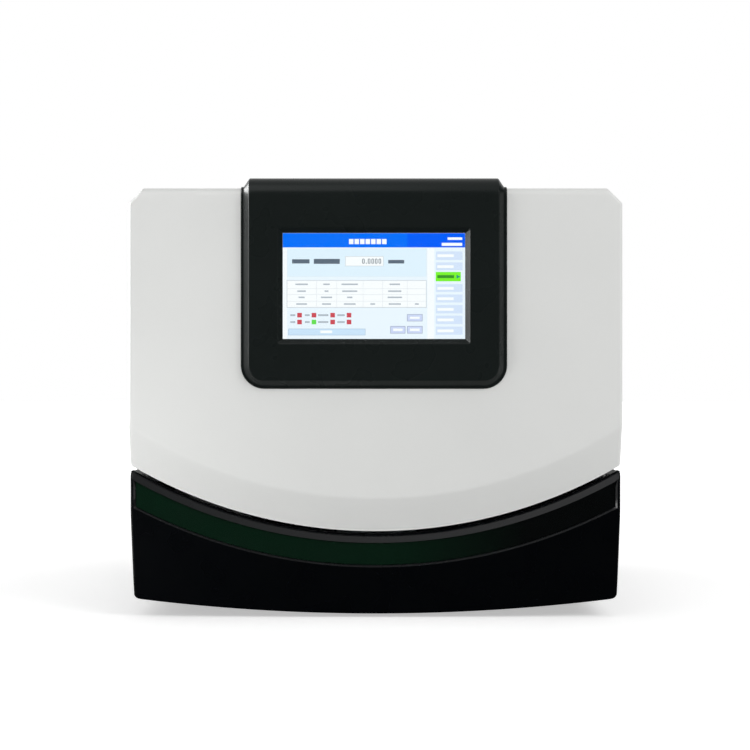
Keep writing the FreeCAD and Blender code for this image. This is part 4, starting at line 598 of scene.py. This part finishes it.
FOLD = TOP_ROLL
FOLD_Z = COVER_HIGH[2] - FOLD
FOLD_FROM = FOLD_Z - BEZEL_LOW[2]
FOLD_TO = FOLD_FROM + FOLD * math.pi / 2
BEZEL_LONG = FOLD_TO + BEZEL_HIGH[1] - COVER_FACE - FOLD
BEZEL_PROUD = COVER_FACE - BEZEL_LOW[1]
RIM = 9.0
BEVEL_TO = 7.2
FLANGE_THICK = 1.2
RIM_ALONG = np.concatenate(
    [np.linspace(20, 160, 15), np.linspace(FOLD_FROM, FOLD_TO, 13), np.linspace(FOLD_TO, BEZEL_LONG - RIM, 5)[1:]]
)
BEZEL_ACROSS = np.linspace(BEZEL_LOW[0] + RIM, BEZEL_HIGH[0] - RIM, 24)


def folded(places, height):
    """Flat places (..., 2) at a height, folded over the cover's top edge.

    Along the fold the angle is the length divided by the fold's radius; before it the sheet stands
    upright, and after it the sheet lies level.
    """
    across, along = places[..., 0], places[..., 1]
    turn = np.clip((along - FOLD_FROM) / FOLD, 0, math.pi / 2)
    radius = FOLD + height
    y = COVER_FACE + FOLD - radius * np.cos(turn) + np.clip(along - FOLD_TO, 0, None)
    z = BEZEL_LOW[2] + np.minimum(along, FOLD_FROM) + radius * np.sin(turn)
    return np.stack([across, y, z], axis=-1)


def outline(left, low, right, high, low_round, high_round, along=None):
    """A closed outline with round corners: along the low edge, up the right, back along the high edge, down."""
    if along is None:
        along = np.linspace(low + low_round, high - high_round, 15)
    foot = np.linspace(left + low_round, right - low_round, 24)
    head = np.linspace(left + high_round, right - high_round, 24)
    parts = [
        np.stack([foot, np.full(24, low)], axis=1),
        arc_points(right - low_round, low + low_round, low_round, -90, 0, 12)[1:-1],
        np.stack([np.full(len(along), right), along], axis=1),
        arc_points(right - high_round, high - high_round, high_round, 0, 90, 8)[1:-1],
        np.stack([head[::-1], np.full(24, high)], axis=1),
        arc_points(left + high_round, high - high_round, high_round, 90, 180, 8)[1:-1],
        np.stack([np.full(len(along), left), along[::-1]], axis=1),
        arc_points(left + low_round, low + low_round, low_round, 180, 270, 12)[1:-1],
    ]
    loop = np.concatenate(parts)
    return np.concatenate([loop, loop[:1]])


def bezel_rim(inset):
    low, high = BEZEL_LOW[0] + inset, BEZEL_HIGH[0] - inset
    return outline(low, inset, high, BEZEL_LONG - inset, 20 - inset, RIM - inset, RIM_ALONG)


def window_rim(margin):
    left, low, right, high = WINDOW
    corner = 0.3 + 0.35 * margin
    foot = low - margin - BEZEL_LOW[2]
    head = high + margin - BEZEL_LOW[2]
    return outline(left - margin, foot, right + margin, head, corner, corner)


def bezel_sheets(crest, flange):
    """The rim and the window as profiles carried round closed outlines, and the flats between them.

    From the cover the rim rises to a thin flange, and from the flange's inner edge in a straight bevel
    to a round crest. The crest's centre lies where its circle touches both the bevel and the face.
    """
    rise = BEZEL_PROUD - FLANGE_THICK
    slope = math.atan2(rise, BEVEL_TO - flange)
    middle = BEVEL_TO + crest * math.tan(slope / 2)
    edge = arc_points(middle, BEZEL_PROUD - crest, crest, 90, 90 + math.degrees(slope), 7)
    toe = [(flange, FLANGE_THICK), (0.3, FLANGE_THICK), (0, FLANGE_THICK - 0.3)]
    rim = np.concatenate([[(RIM, BEZEL_PROUD)], edge, toe, [(0, 0), (RIM, 0)]])
    lip = arc_points(4.3 + 0.5, BEZEL_PROUD - 1.2, 1.2, 90, 135, 5)
    window = [(5.6, BEZEL_PROUD), *lip, (0, BEZEL_PROUD - 4.3), (0, 3.5), (5.05, 3.5), (5.05, 0), (5.6, 0)]
    sheets = [
        np.stack([folded(bezel_rim(inset), height) for inset, height in rim]),
        np.stack([folded(window_rim(margin), height) for margin, height in window]),
    ]
    join = RIM_ALONG[14]
    outer = outline(BEZEL_ACROSS[0], RIM, BEZEL_ACROSS[-1], join, 20 - RIM, 0)
    share = np.linspace(0, 1, 6)[:, None, None]
    between = outer * (1 - share) + window_rim(5.6) * share
    plate = np.stack(np.meshgrid(BEZEL_ACROSS, RIM_ALONG[14:]), axis=-1)
    for height in (BEZEL_PROUD, 0.0):
        sheets += [folded(between, height), folded(plate, height)]
    return sheets


# Base

BASE_HALF = 209.6
BASE_FACE = COVER_FACE + 10
BASE_TOP = CURVE_RADIUS + 3
FOOT_LOW = 2.8
FOOT_RADIUS = 1646.6
RECESS = 2.5
MOUTH = 1.8
STRIP_TO = 25.9
LIP_TO = 6.8
LIP_TURN = 1.8
LIP_SLANT = 0.53
LIP_STEEP = 2.2
LIP_BACK = 5.0
TAPER_FROM = 200.0


def base_half(z):
    """Half the base's width, upright down to a height of 90 and then drawn in evenly to the foot."""
    return BASE_HALF - 3.1 * np.clip((90 - z) / 74.2, 0, 1)


def base_sheet(inset):
    """Outer skin of the base, or one set in by its wall, on a grid of places across by rows down.

    The upper rows are circles about the cover's centre: a lip that slants forward, then the recess of
    the gloss strip with its bevelled mouth. The lower rows ease them into the shallow foot curve.
    """
    across, end_depth = BASE_ACROSS.T
    drop, row_depth = np.array(BASE_ROWS).T
    reach = np.abs(across)
    circles = CURVE_CENTRE - np.sqrt((BASE_TOP + drop[:, None]) ** 2 - reach**2)
    tip = roundover(BASE_HALF - reach, 3.0)
    circles = circles - 0.8 * tip * np.clip(1 - drop[:, None] / 6, 0, 1)
    foot = FOOT_LOW + FOOT_RADIUS - np.sqrt(FOOT_RADIUS**2 - reach**2)
    share = np.linspace(0, 1, 14)[1:-1, None]
    eased = circles[-1] * (1 - share) + (foot + 6) * share
    low = foot + np.concatenate([[6.0, 3.0], steps_in(1.5, 5)[::-1]])[:, None]
    z = np.concatenate([circles, eased, low])
    half = base_half(z)
    drawn = (half - TAPER_FROM) / (BASE_HALF - TAPER_FROM)
    reach = np.minimum(reach, TAPER_FROM) + np.clip(reach - TAPER_FROM, 0, None) * drawn
    from_foot = z - foot
    z = z + roundover(half - reach, 4.0) * np.clip(1 - from_foot / 14, 0, 1)
    rows = len(z)
    fallen = np.full(rows, 100.0)
    fallen[: len(drop)] = drop
    depth = np.zeros(rows)
    depth[: len(drop)] = row_depth
    rounded = np.maximum(roundover(half - reach, 1.2), roundover(from_foot, 1.5))
    steep = (LIP_TO - LIP_TURN) * LIP_SLANT + (LIP_TURN - fallen) * LIP_STEEP
    lip = np.clip(np.maximum((LIP_TO - fallen) * LIP_SLANT, steep), 0, LIP_BACK)
    rounded = np.maximum(rounded, lip[:, None])
    recess = np.minimum(depth[:, None], end_depth)
    x = np.sign(across) * reach
    if inset:
        down = np.linspace(-1, 1, rows)[:, None]
        return np.stack([x * (1 - inset / BASE_HALF), np.full_like(z, BASE_FACE + inset), z + inset * down], axis=-1)
    return np.stack([x, BASE_FACE + rounded + recess, z], axis=-1)


END = STRIP_HIGH[0] + 0.3
BASE_ROWS = (
    *((step, 0) for step in (0, 0.4, 0.73, 1.1, 1.5, LIP_TURN, 2.4, 3.2, 4, 5, 6, LIP_TO)),
    (LIP_TO, RECESS),
    (12, RECESS),
    (19, RECESS),
    (STRIP_TO, RECESS),
    (STRIP_TO, MOUTH),
    (STRIP_TO + MOUTH, 0),
    (29, 0),
)
BASE_END = (
    *((BASE_HALF - step, 0) for step in steps_in(1.2, 5)),
    (END + 2.3, 0),
    (END + MOUTH, 0),
    (END, MOUTH),
    (END, RECESS),
    (202.5, RECESS),
    (TAPER_FROM, RECESS),
)
BASE_MIDDLE = np.stack([np.linspace(-194, 194, 66), np.full(66, RECESS)], axis=1)
BASE_ACROSS = np.concatenate([np.array(BASE_END) * (-1, 1), BASE_MIDDLE, np.array(BASE_END)[::-1]])


class AnalyzerFrontSettings(bpy.types.PropertyGroup):
    cover_wall: bpy.props.FloatProperty(
        name="Cover Wall", description="Thickness of the cover's moulding", default=0.0026, unit="LENGTH"
    )
    crease: bpy.props.FloatProperty(
        name="Crease", description="Half the height over which the band's crease is eased", default=0.0018,
        unit="LENGTH",
    )
    crest: bpy.props.FloatProperty(
        name="Crest", description="Radius along the upper edge of the bezel's bevel", default=0.0016, unit="LENGTH"
    )
    flange: bpy.props.FloatProperty(
        name="Flange", description="Width of the thin flange round the bezel", default=0.0022, unit="LENGTH"
    )
    base_wall: bpy.props.FloatProperty(
        name="Base Wall", description="Thickness of the base's moulding", default=0.0045, unit="LENGTH"
    )
    shell_colour: bpy.props.FloatVectorProperty(
        name="Shell", description="Colour of the cover, lid and side panels", default=WHITE[:3], subtype="COLOR",
        min=0.0, max=1.0,
    )
    bezel_colour: bpy.props.FloatVectorProperty(
        name="Bezel", description="Colour round the screen", default=BEZEL_BLACK[:3], subtype="COLOR",
        min=0.0, max=1.0,
    )
    base_colour: bpy.props.FloatVectorProperty(
        name="Base", description="Colour of the base", default=BASE_BLACK[:3], subtype="COLOR", min=0.0, max=1.0
    )


def finished(piece, node):
    """The skin stands for a solid of the frame and takes that solid's finish and slot."""
    put(piece, NODES[node].data.materials[0])
    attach(piece, "root")
    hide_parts(node)


class ANALYZER_OT_cover(bpy.types.Operator):
    """White front cover with its curved lower edge, slanted band and rounded rims"""

    bl_idname = "analyzer.cover"
    bl_label = "Front Cover"

    def execute(self, context):
        settings = context.scene.analyzer_front
        sheets = []
        for inset in (0.0, settings.cover_wall * 1000):
            face = cover_sheet(inset, settings.crease * 1000)
            sheets.append(skirted(face, [COVER_HIGH[1]]))
        x, _, z = np.moveaxis(sheets[0], -1, 0)
        left, low, right, high = SCREEN_HOLE
        inside = (x > left - 0.01) & (x < right + 0.01) & (z > low - 0.01) & (z < high + 0.01)
        opened = inside[:-1, :-1] & inside[:-1, 1:] & inside[1:, 1:] & inside[1:, :-1]
        finished(shell("front_cover_skin", *sheets, ~opened), "front_cover")
        return {"FINISHED"}


class ANALYZER_OT_bezel(bpy.types.Operator):
    """Black screen bezel, folded over the top edge, with a bevelled rim and window"""

    bl_idname = "analyzer.bezel"
    bl_label = "Screen Bezel"

    def execute(self, context):
        settings = context.scene.analyzer_front
        sheets = bezel_sheets(settings.crest * 1000, settings.flange * 1000)
        finished(joined("screen_bezel_skin", sheets), "screen_bezel")
        return {"FINISHED"}


class ANALYZER_OT_base(bpy.types.Operator):
    """Black base with its lip, strip recess and curved foot line"""

    bl_idname = "analyzer.base"
    bl_label = "Base"

    def execute(self, context):
        wall = context.scene.analyzer_front.base_wall * 1000
        levels = [BASE_FACE + 14, REAR_FACE - 2]
        sheets = [skirted(base_sheet(inset), levels) for inset in (0.0, wall)]
        keep = np.ones((sheets[0].shape[0] - 1, sheets[0].shape[1] - 1), bool)
        keep[0] = False
        finished(shell("base_skin", *sheets, keep), "base_shell")
        return {"FINISHED"}


# Small parts

GUARD_REACH = 35.4
SCREW_SPOTS = (
    (-181, 40, 0),
    (181, 40, 0),
    (-202.5, 329, 0),
    (202.5, 329, 0),
    (-202.5, 184.5, 0),
    (202.5, 184.5, 0),
    (-65.3, 40, 0),
    (65.3, 40, 0),
    *(
        (GUARD_MIDDLE[0] + side * GUARD_REACH, GUARD_MIDDLE[2] + up * GUARD_REACH, 2)
        for side in (-1, 1)
        for up in (-1, 1)
    ),
)
HEAD_RADIUS = 3.2
ROD_RADIUS = 3.99
SHAFT_RADIUS = 2.5
SHAFT_LONG = 6.0
PITCH = 8.0


def screw_head(turn):
    """A domed screw head on its back, radius by angle, with a cross sunk in its middle."""
    radius = np.array([0, 0.25, 0.5, 0.8, 1.1, 1.4, 1.7, 1.9, 2.1, 2.5, 2.9, 3.1, HEAD_RADIUS, HEAD_RADIUS, 0])
    radius = radius[:, None]
    angle = np.linspace(0, 2 * math.pi, 65)
    x = radius * np.cos(angle)
    z = radius * np.sin(angle)
    dome = 1.0 + 1.0 * np.sqrt(np.clip(1 - (radius / HEAD_RADIUS) ** 2, 0, 1))
    near = np.minimum(np.abs(x), np.abs(z))
    sunk = 1.2 * np.clip((0.6 - near) / 0.2, 0, 1) * np.clip((2.1 - radius) / 0.2, 0, 1)
    y = dome - sunk
    y[-2:] = 0
    spin = math.radians(turn)
    return np.stack([x * math.cos(spin) - z * math.sin(spin), y, x * math.sin(spin) + z * math.cos(spin)], axis=-1)


def thread_sheet(low, shoulder, high, radius, shaft, pitch):
    """A threaded rod round the z axis: its radius follows the phase of a helix, with plain ends and a thin shaft."""
    z = np.concatenate([[low, low, low + 1], np.linspace(low + 1.5, shoulder - 1.5, 368), [shoulder - 1]])
    z = np.concatenate([z, [shoulder, shoulder, high, high]])[:, None]
    turn = np.linspace(0, 2 * math.pi, 33)
    wave = 0.5 + 0.9 * np.cos(2 * math.pi * z / pitch - turn)
    plain = np.clip(np.minimum(z - low - 1, shoulder - 1 - z), 0, 1)
    r = radius - 0.9 * np.clip(wave, 0, 1) * plain
    r[0] = 0
    r[-3:-1] = shaft
    r[-1] = 0
    return np.stack([r * np.cos(turn), r * np.sin(turn), z + 0 * turn], axis=-1)


class ANALYZER_OT_hardware(bpy.types.Operator):
    """Screws of the rear panel and fan guard, and the threaded lead screw"""

    bl_idname = "analyzer.hardware"
    bl_label = "Screws and Thread"

    def execute(self, context):
        heads = []
        for index, (x, z, out) in enumerate(SCREW_SPOTS):
            heads.append(screw_head(17 * index) + np.array([x, REAR_FACE + out, z]))
        screws = joined("rear_screws", heads)
        put(screws, worked_metal("screw_steel", linear(168, 171, 175), 0.3, (1, 6, 1)))
        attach(screws, "root")
        middle = (SCREW_LOW + SCREW_HIGH) / 2
        low, high = SCREW_LOW[2], SCREW_HIGH[2]
        thread = thread_sheet(low, high - SHAFT_LONG, high, ROD_RADIUS, SHAFT_RADIUS, PITCH)
        rod = joined("lead_screw_thread", [thread + np.array([middle[0], middle[1], 0])])
        put(rod, NODES["lead_screw"].data.materials[0])
        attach(rod, "screw")
        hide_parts("lead_screw")
        return {"FINISHED"}


class AnalyzerDisplaySettings(bpy.types.PropertyGroup):
    glow: bpy.props.FloatProperty(
        name="Glow", description="Brightness of the lit panel", default=1.12, min=0.0, max=3.0
    )


class ANALYZER_OT_display(bpy.types.Operator):
    """Lit panel behind the touch glass, with a plain picture of fields, lamps and buttons"""

    bl_idname = "analyzer.display"
    bl_label = "Lit Display"

    def execute(self, context):
        glow = context.scene.analyzer_display.glow
        front = PANEL_LOW[1] + 0.1
        left_edge, low_edge, right_edge, high_edge = WINDOW
        dot = (right_edge - left_edge) / DOTS[0], (high_edge - low_edge) / DOTS[1]
        rows = screen_rows() + numeral_rows()
        blocks = [(PANEL_LOW[0], PANEL_HIGH[0], front + 0.4, PANEL_HIGH[1], PANEL_LOW[2], PANEL_HIGH[2])]
        inks = ["page"]
        for layer, (left, top, right, bottom, ink) in enumerate(rows):
            y = front + 0.4 - 0.4 * (layer + 1) / len(rows)
            x = left_edge + left * dot[0], left_edge + right * dot[0]
            z = high_edge - bottom * dot[1], high_edge - top * dot[1]
            blocks.append((*x, y, front + 0.6, *z))
            inks.append(ink)
        points, faces = tiles(blocks)
        piece = mesh_object("display_picture", points / 1000, faces.tolist())
        colours = np.array([linear(*INK[ink]) for ink in inks], np.float32)
        layer = piece.data.attributes.new("ink", "FLOAT_COLOR", "POINT")
        layer.data.foreach_set("color", np.repeat(colours, 8, axis=0).ravel())
        made = Finish("display_lit", (0.02, 0.02, 0.02, 1.0), 0.5, specular=0.0)
        ink = made.add("Attribute", {"attribute_name": "ink"}).outputs["Color"]
        made.tree.links.new(ink, made.shader.inputs["Emission Color"])
        made.shader.inputs["Emission Strength"].default_value = glow
        put(piece, made.material)
        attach(piece, "root")
        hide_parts("lcd_module")
        return {"FINISHED"}


class ANALYZER_OT_finishes(bpy.types.Operator):
    """Procedural finish for every solid of the analyzer"""

    bl_idname = "analyzer.finishes"
    bl_label = "Finishes"

    def execute(self, context):
        settings = context.scene.analyzer_front
        own = {"screen_bezel": moulded("bezel_black", (*settings.bezel_colour, 1.0), 0.28, 0.13, 1400.0, 0.00002)}
        made = {
            "white_shell": moulded("shell_white", (*settings.shell_colour, 1.0), 0.5, 0.4, 1500.0, 0.00004, 0.012),
            "black_moulding": moulded("moulding_black", (*settings.base_colour, 1.0), 0.28, 0.2, 1300.0, 0.00003),
        }
        for name, piece in NODES.items():
            slot = SLOT_OF[name]
            if slot not in made:
                made[slot] = FINISHES[slot]()
            put(piece, own.get(name, made[slot]))
        return {"FINISHED"}


class AnalyzerStageSettings(bpy.types.PropertyGroup):
    distance: bpy.props.FloatProperty(
        name="Distance", description="From the lens to the front cover", default=1.5, unit="LENGTH"
    )
    height: bpy.props.FloatProperty(
        name="Height", description="Lens above the bench", default=0.2069, unit="LENGTH"
    )
    aside: bpy.props.FloatProperty(
        name="Aside", description="Lens to the right of the middle", default=-0.0004, unit="LENGTH"
    )
    width: bpy.props.FloatProperty(
        name="Width", description="Width seen at the front cover", default=0.6368, unit="LENGTH"
    )
    key: bpy.props.FloatProperty(name="Key", description="Power of the main softbox", default=0.15, unit="POWER")
    fill: bpy.props.FloatProperty(name="Fill", description="Power of the second softbox", default=13.6, unit="POWER")
    panel: bpy.props.FloatProperty(
        name="Panel", description="Light of the left card that the bevels reflect", default=8.5
    )
    low: bpy.props.FloatProperty(
        name="Low", description="Power of the low panel that lifts the band", default=0.6, unit="POWER"
    )
    sky: bpy.props.FloatProperty(name="Sky", description="Even light from all round", default=0.56)


def softbox(name, place, aim, wide, tall, power):
    """A rectangular lamp at a place, turned so that it faces its aim."""
    lamp = bpy.data.lights.new(name, "AREA")
    lamp.shape = "RECTANGLE"
    lamp.size = wide
    lamp.size_y = tall
    lamp.energy = power
    holder = bpy.data.objects.new(name, lamp)
    bpy.context.scene.collection.objects.link(holder)
    holder.location = place
    holder.visible_camera = False
    holder.rotation_euler = (Vector(place) - Vector(aim)).to_track_quat("Z", "Y").to_euler()
    return holder


class ANALYZER_OT_studio(bpy.types.Operator):
    """Camera, pale floor, softboxes and white surroundings"""

    bl_idname = "analyzer.studio"
    bl_label = "Studio"

    def execute(self, context):
        settings = context.scene.analyzer_stage
        scene = context.scene
        camera = bpy.data.cameras.new("camera")
        camera.lens = camera.sensor_width * settings.distance / settings.width
        camera.clip_start = 0.01
        holder = bpy.data.objects.new("camera", camera)
        scene.collection.objects.link(holder)
        holder.location = (settings.aside, COVER_FACE / 1000 - settings.distance, settings.height)
        holder.rotation_euler = (math.pi / 2, 0, 0)
        scene.camera = holder
        scene.view_settings.view_transform = "Standard"
        self.surroundings(scene, settings.sky)
        self.floor()
        softbox("softbox_left", (-1.3, -1.7, 0.5), (0, -0.2, 0.1), 1.2, 0.8, settings.key)
        softbox("softbox_right", (1.4, -1.5, 1.3), (0.1, -0.2, 0.2), 1.0, 1.0, settings.fill)
        softbox("softbox_low", (-0.5, -0.52, 0.04), (-0.19, -0.2, 0.1), 0.2, 0.06, settings.low)
        dark = (0.006, 0.006, 0.007)
        grey = (1.0, 1.0, 1.0)
        self.card("curtain", (-3.5, -3.2, 0), (7, 0, 0), (0, 0, 3.5), dark)
        self.card("mat", (-2, -3.2, 0.001), (4, 0, 0), (0, 3, 0), dark)
        self.card("flag", (1.1, -0.8, 0.13), (0, 1.6, 0), (0, 0, 0.87), dark)
        self.card("shield", (-0.7, -0.8, 0), (0, 1.6, 0), (0, 0, 0.12), dark)
        self.card("glint", (0.7, -0.6, 0), (0, 0.8, 0), (0, 0, 0.09), grey, 5.0)
        self.card("overhead", (-1.4, -1.6, 1.1), (2.4, 0, 0), (0, 1.1, 0), grey, 3.1, "X", (-0.3, 0.25), 0.15)
        self.card("panel", (-1.1, -0.7, 0.13), (0, 1.4, 0), (0, 0, 0.87), grey, settings.panel, "Z", (0.33, 0.5), 2.6)
        return {"FINISHED"}

    def card(self, name, corner, across, up, colour, strength=1.0, axis="Z", span=(0.0, 1.0), grown=1.0):
        """A flat card that only reflections see, laid out from one corner along two edges.

        Along an axis its light changes over a span from the strength to a multiple of it.
        """
        steps = np.linspace(0, 1, 5)[:, None]
        sheet = np.array(corner, float) + (steps * across)[None] + (steps * up)[:, None]
        piece = mesh_object(name, sheet.reshape(-1, 3), grid_cells(5, 5).reshape(-1, 4).tolist())
        made = Finish(name + "_cloth", (0, 0, 0, 1), 1.0, specular=0.0)
        made.shader.inputs["Emission Color"].default_value = (*colour, 1.0)
        made.shader.inputs["Emission Strength"].default_value = strength
        if grown != 1.0:
            change = made.add("MapRange", Value=made.add("SeparateXYZ", Vector=made.place).outputs[axis])
            change.inputs["From Min"].default_value, change.inputs["From Max"].default_value = span
            change.inputs["To Min"].default_value = strength
            change.inputs["To Max"].default_value = strength * grown
            made.tree.links.new(change.outputs["Result"], made.shader.inputs["Emission Strength"])
        put(piece, made.material)
        piece.visible_camera = False
        piece.visible_diffuse = False
        piece.visible_shadow = False

    def surroundings(self, scene, level):
        """White to the eye, to gloss and to glass, and a dimmer even light for the rest."""
        world = bpy.data.worlds.new("surroundings")
        world.use_nodes = True
        tree = world.node_tree
        back = tree.nodes["Background"]
        back.inputs["Color"].default_value = (1, 1, 1, 1)
        back.inputs["Strength"].default_value = level
        plain = tree.nodes.new("ShaderNodeBackground")
        plain.inputs["Color"].default_value = (1, 1, 1, 1)
        path = tree.nodes.new("ShaderNodeLightPath")
        pick = tree.nodes.new("ShaderNodeMath")
        pick.operation = "MAXIMUM"
        also = tree.nodes.new("ShaderNodeMath")
        also.operation = "MAXIMUM"
        mix = tree.nodes.new("ShaderNodeMixShader")
        link = tree.links.new
        link(path.outputs["Is Camera Ray"], pick.inputs[0])
        link(path.outputs["Is Glossy Ray"], pick.inputs[1])
        link(pick.outputs["Value"], also.inputs[0])
        link(path.outputs["Is Transmission Ray"], also.inputs[1])
        link(also.outputs["Value"], mix.inputs["Fac"])
        link(back.outputs["Background"], mix.inputs[1])
        link(plain.outputs["Background"], mix.inputs[2])
        link(mix.outputs["Shader"], tree.nodes["World Output"].inputs["Surface"])
        scene.world = world

    def floor(self):
        """A level round floor, its grid of rings and spokes worked out as radius times direction."""
        radius = np.array([0.0001, 0.5, 1.5, 4.0, 12.0])
        turn = np.linspace(0, 2 * math.pi, 96, endpoint=False)
        x = radius[:, None] * np.cos(turn)
        y = radius[:, None] * np.sin(turn)
        points = np.stack([x, y, np.full_like(x, -0.0002)], axis=-1).reshape(-1, 3)
        ring = np.arange(len(turn))
        following = np.roll(ring, -1)
        start = (np.arange(len(radius) - 1) * len(turn))[:, None]
        quads = [start + ring, start + len(turn) + ring, start + len(turn) + following, start + following]
        piece = mesh_object("floor", points, np.stack(quads, axis=-1).reshape(-1, 4).tolist())
        made = Finish("floor_pale", (0.86, 0.86, 0.86, 1.0), 0.8, specular=0.1)
        made.colour(made.ramp(made.noise(1.5, 2.0), [(0.3, (0.85, 0.85, 0.85, 1)), (0.7, (0.88, 0.88, 0.88, 1))]))
        path = made.add("LightPath").outputs
        away = made.add("VectorMath", {"operation": "LENGTH"}, Vector=made.place).outputs["Value"]
        lift = made.add("MapRange", Value=away)
        lift.inputs["From Min"].default_value = 0.35
        lift.inputs["From Max"].default_value = 1.1
        lift.inputs["To Min"].default_value = 0.45
        lift.inputs["To Max"].default_value = 1.0
        seen = path["Is Camera Ray"]
        for other in ("Is Glossy Ray", "Is Transmission Ray"):
            both = made.add("Math", {"operation": "MAXIMUM"})
            made.tree.links.new(seen, both.inputs[0])
            made.tree.links.new(path[other], both.inputs[1])
            seen = both.outputs["Value"]
        strength = made.add("Math", {"operation": "MULTIPLY"})
        made.tree.links.new(seen, strength.inputs[0])
        made.tree.links.new(lift.outputs["Result"], strength.inputs[1])
        made.shader.inputs["Emission Color"].default_value = (1, 1, 1, 1)
        made.tree.links.new(strength.outputs["Value"], made.shader.inputs["Emission Strength"])
        put(piece, made.material)


class ANALYZER_PT_sidebar(bpy.types.Panel):
    """Lists the settings and the steps that dress the analyzer"""

    bl_idname = "ANALYZER_PT_sidebar"
    bl_label = "Carbon Analyzer"
    bl_space_type = "VIEW_3D"
    bl_region_type = "UI"
    bl_category = "Analyzer"

    def draw(self, context):
        layout = self.layout
        scene = context.scene
        for group in (scene.analyzer_front, scene.analyzer_display, scene.analyzer_stage):
            for name in group.__annotations__:
                layout.prop(group, name)
        for operator in STEPS:
            layout.operator(operator.bl_idname)


STEPS = (
    ANALYZER_OT_finishes,
    ANALYZER_OT_cover,
    ANALYZER_OT_bezel,
    ANALYZER_OT_base,
    ANALYZER_OT_hardware,
    ANALYZER_OT_display,
    ANALYZER_OT_studio,
)
GROUPS = {
    "analyzer_front": AnalyzerFrontSettings,
    "analyzer_display": AnalyzerDisplaySettings,
    "analyzer_stage": AnalyzerStageSettings,
}
CLASSES = (*GROUPS.values(), *STEPS, ANALYZER_PT_sidebar)


def register():
    for item in CLASSES:
        bpy.utils.register_class(item)
    for name, group in GROUPS.items():
        setattr(bpy.types.Scene, name, bpy.props.PointerProperty(type=group))


def unregister():
    for name in GROUPS:
        delattr(bpy.types.Scene, name)
    for item in reversed(CLASSES):
        bpy.utils.unregister_class(item)


def main():
    register()
    bpy.ops.analyzer.finishes()
    bpy.ops.analyzer.cover()
    bpy.ops.analyzer.bezel()
    bpy.ops.analyzer.base()
    bpy.ops.analyzer.hardware()
    bpy.ops.analyzer.display()
    bpy.ops.analyzer.studio()


if __name__ == "__main__":
    main()
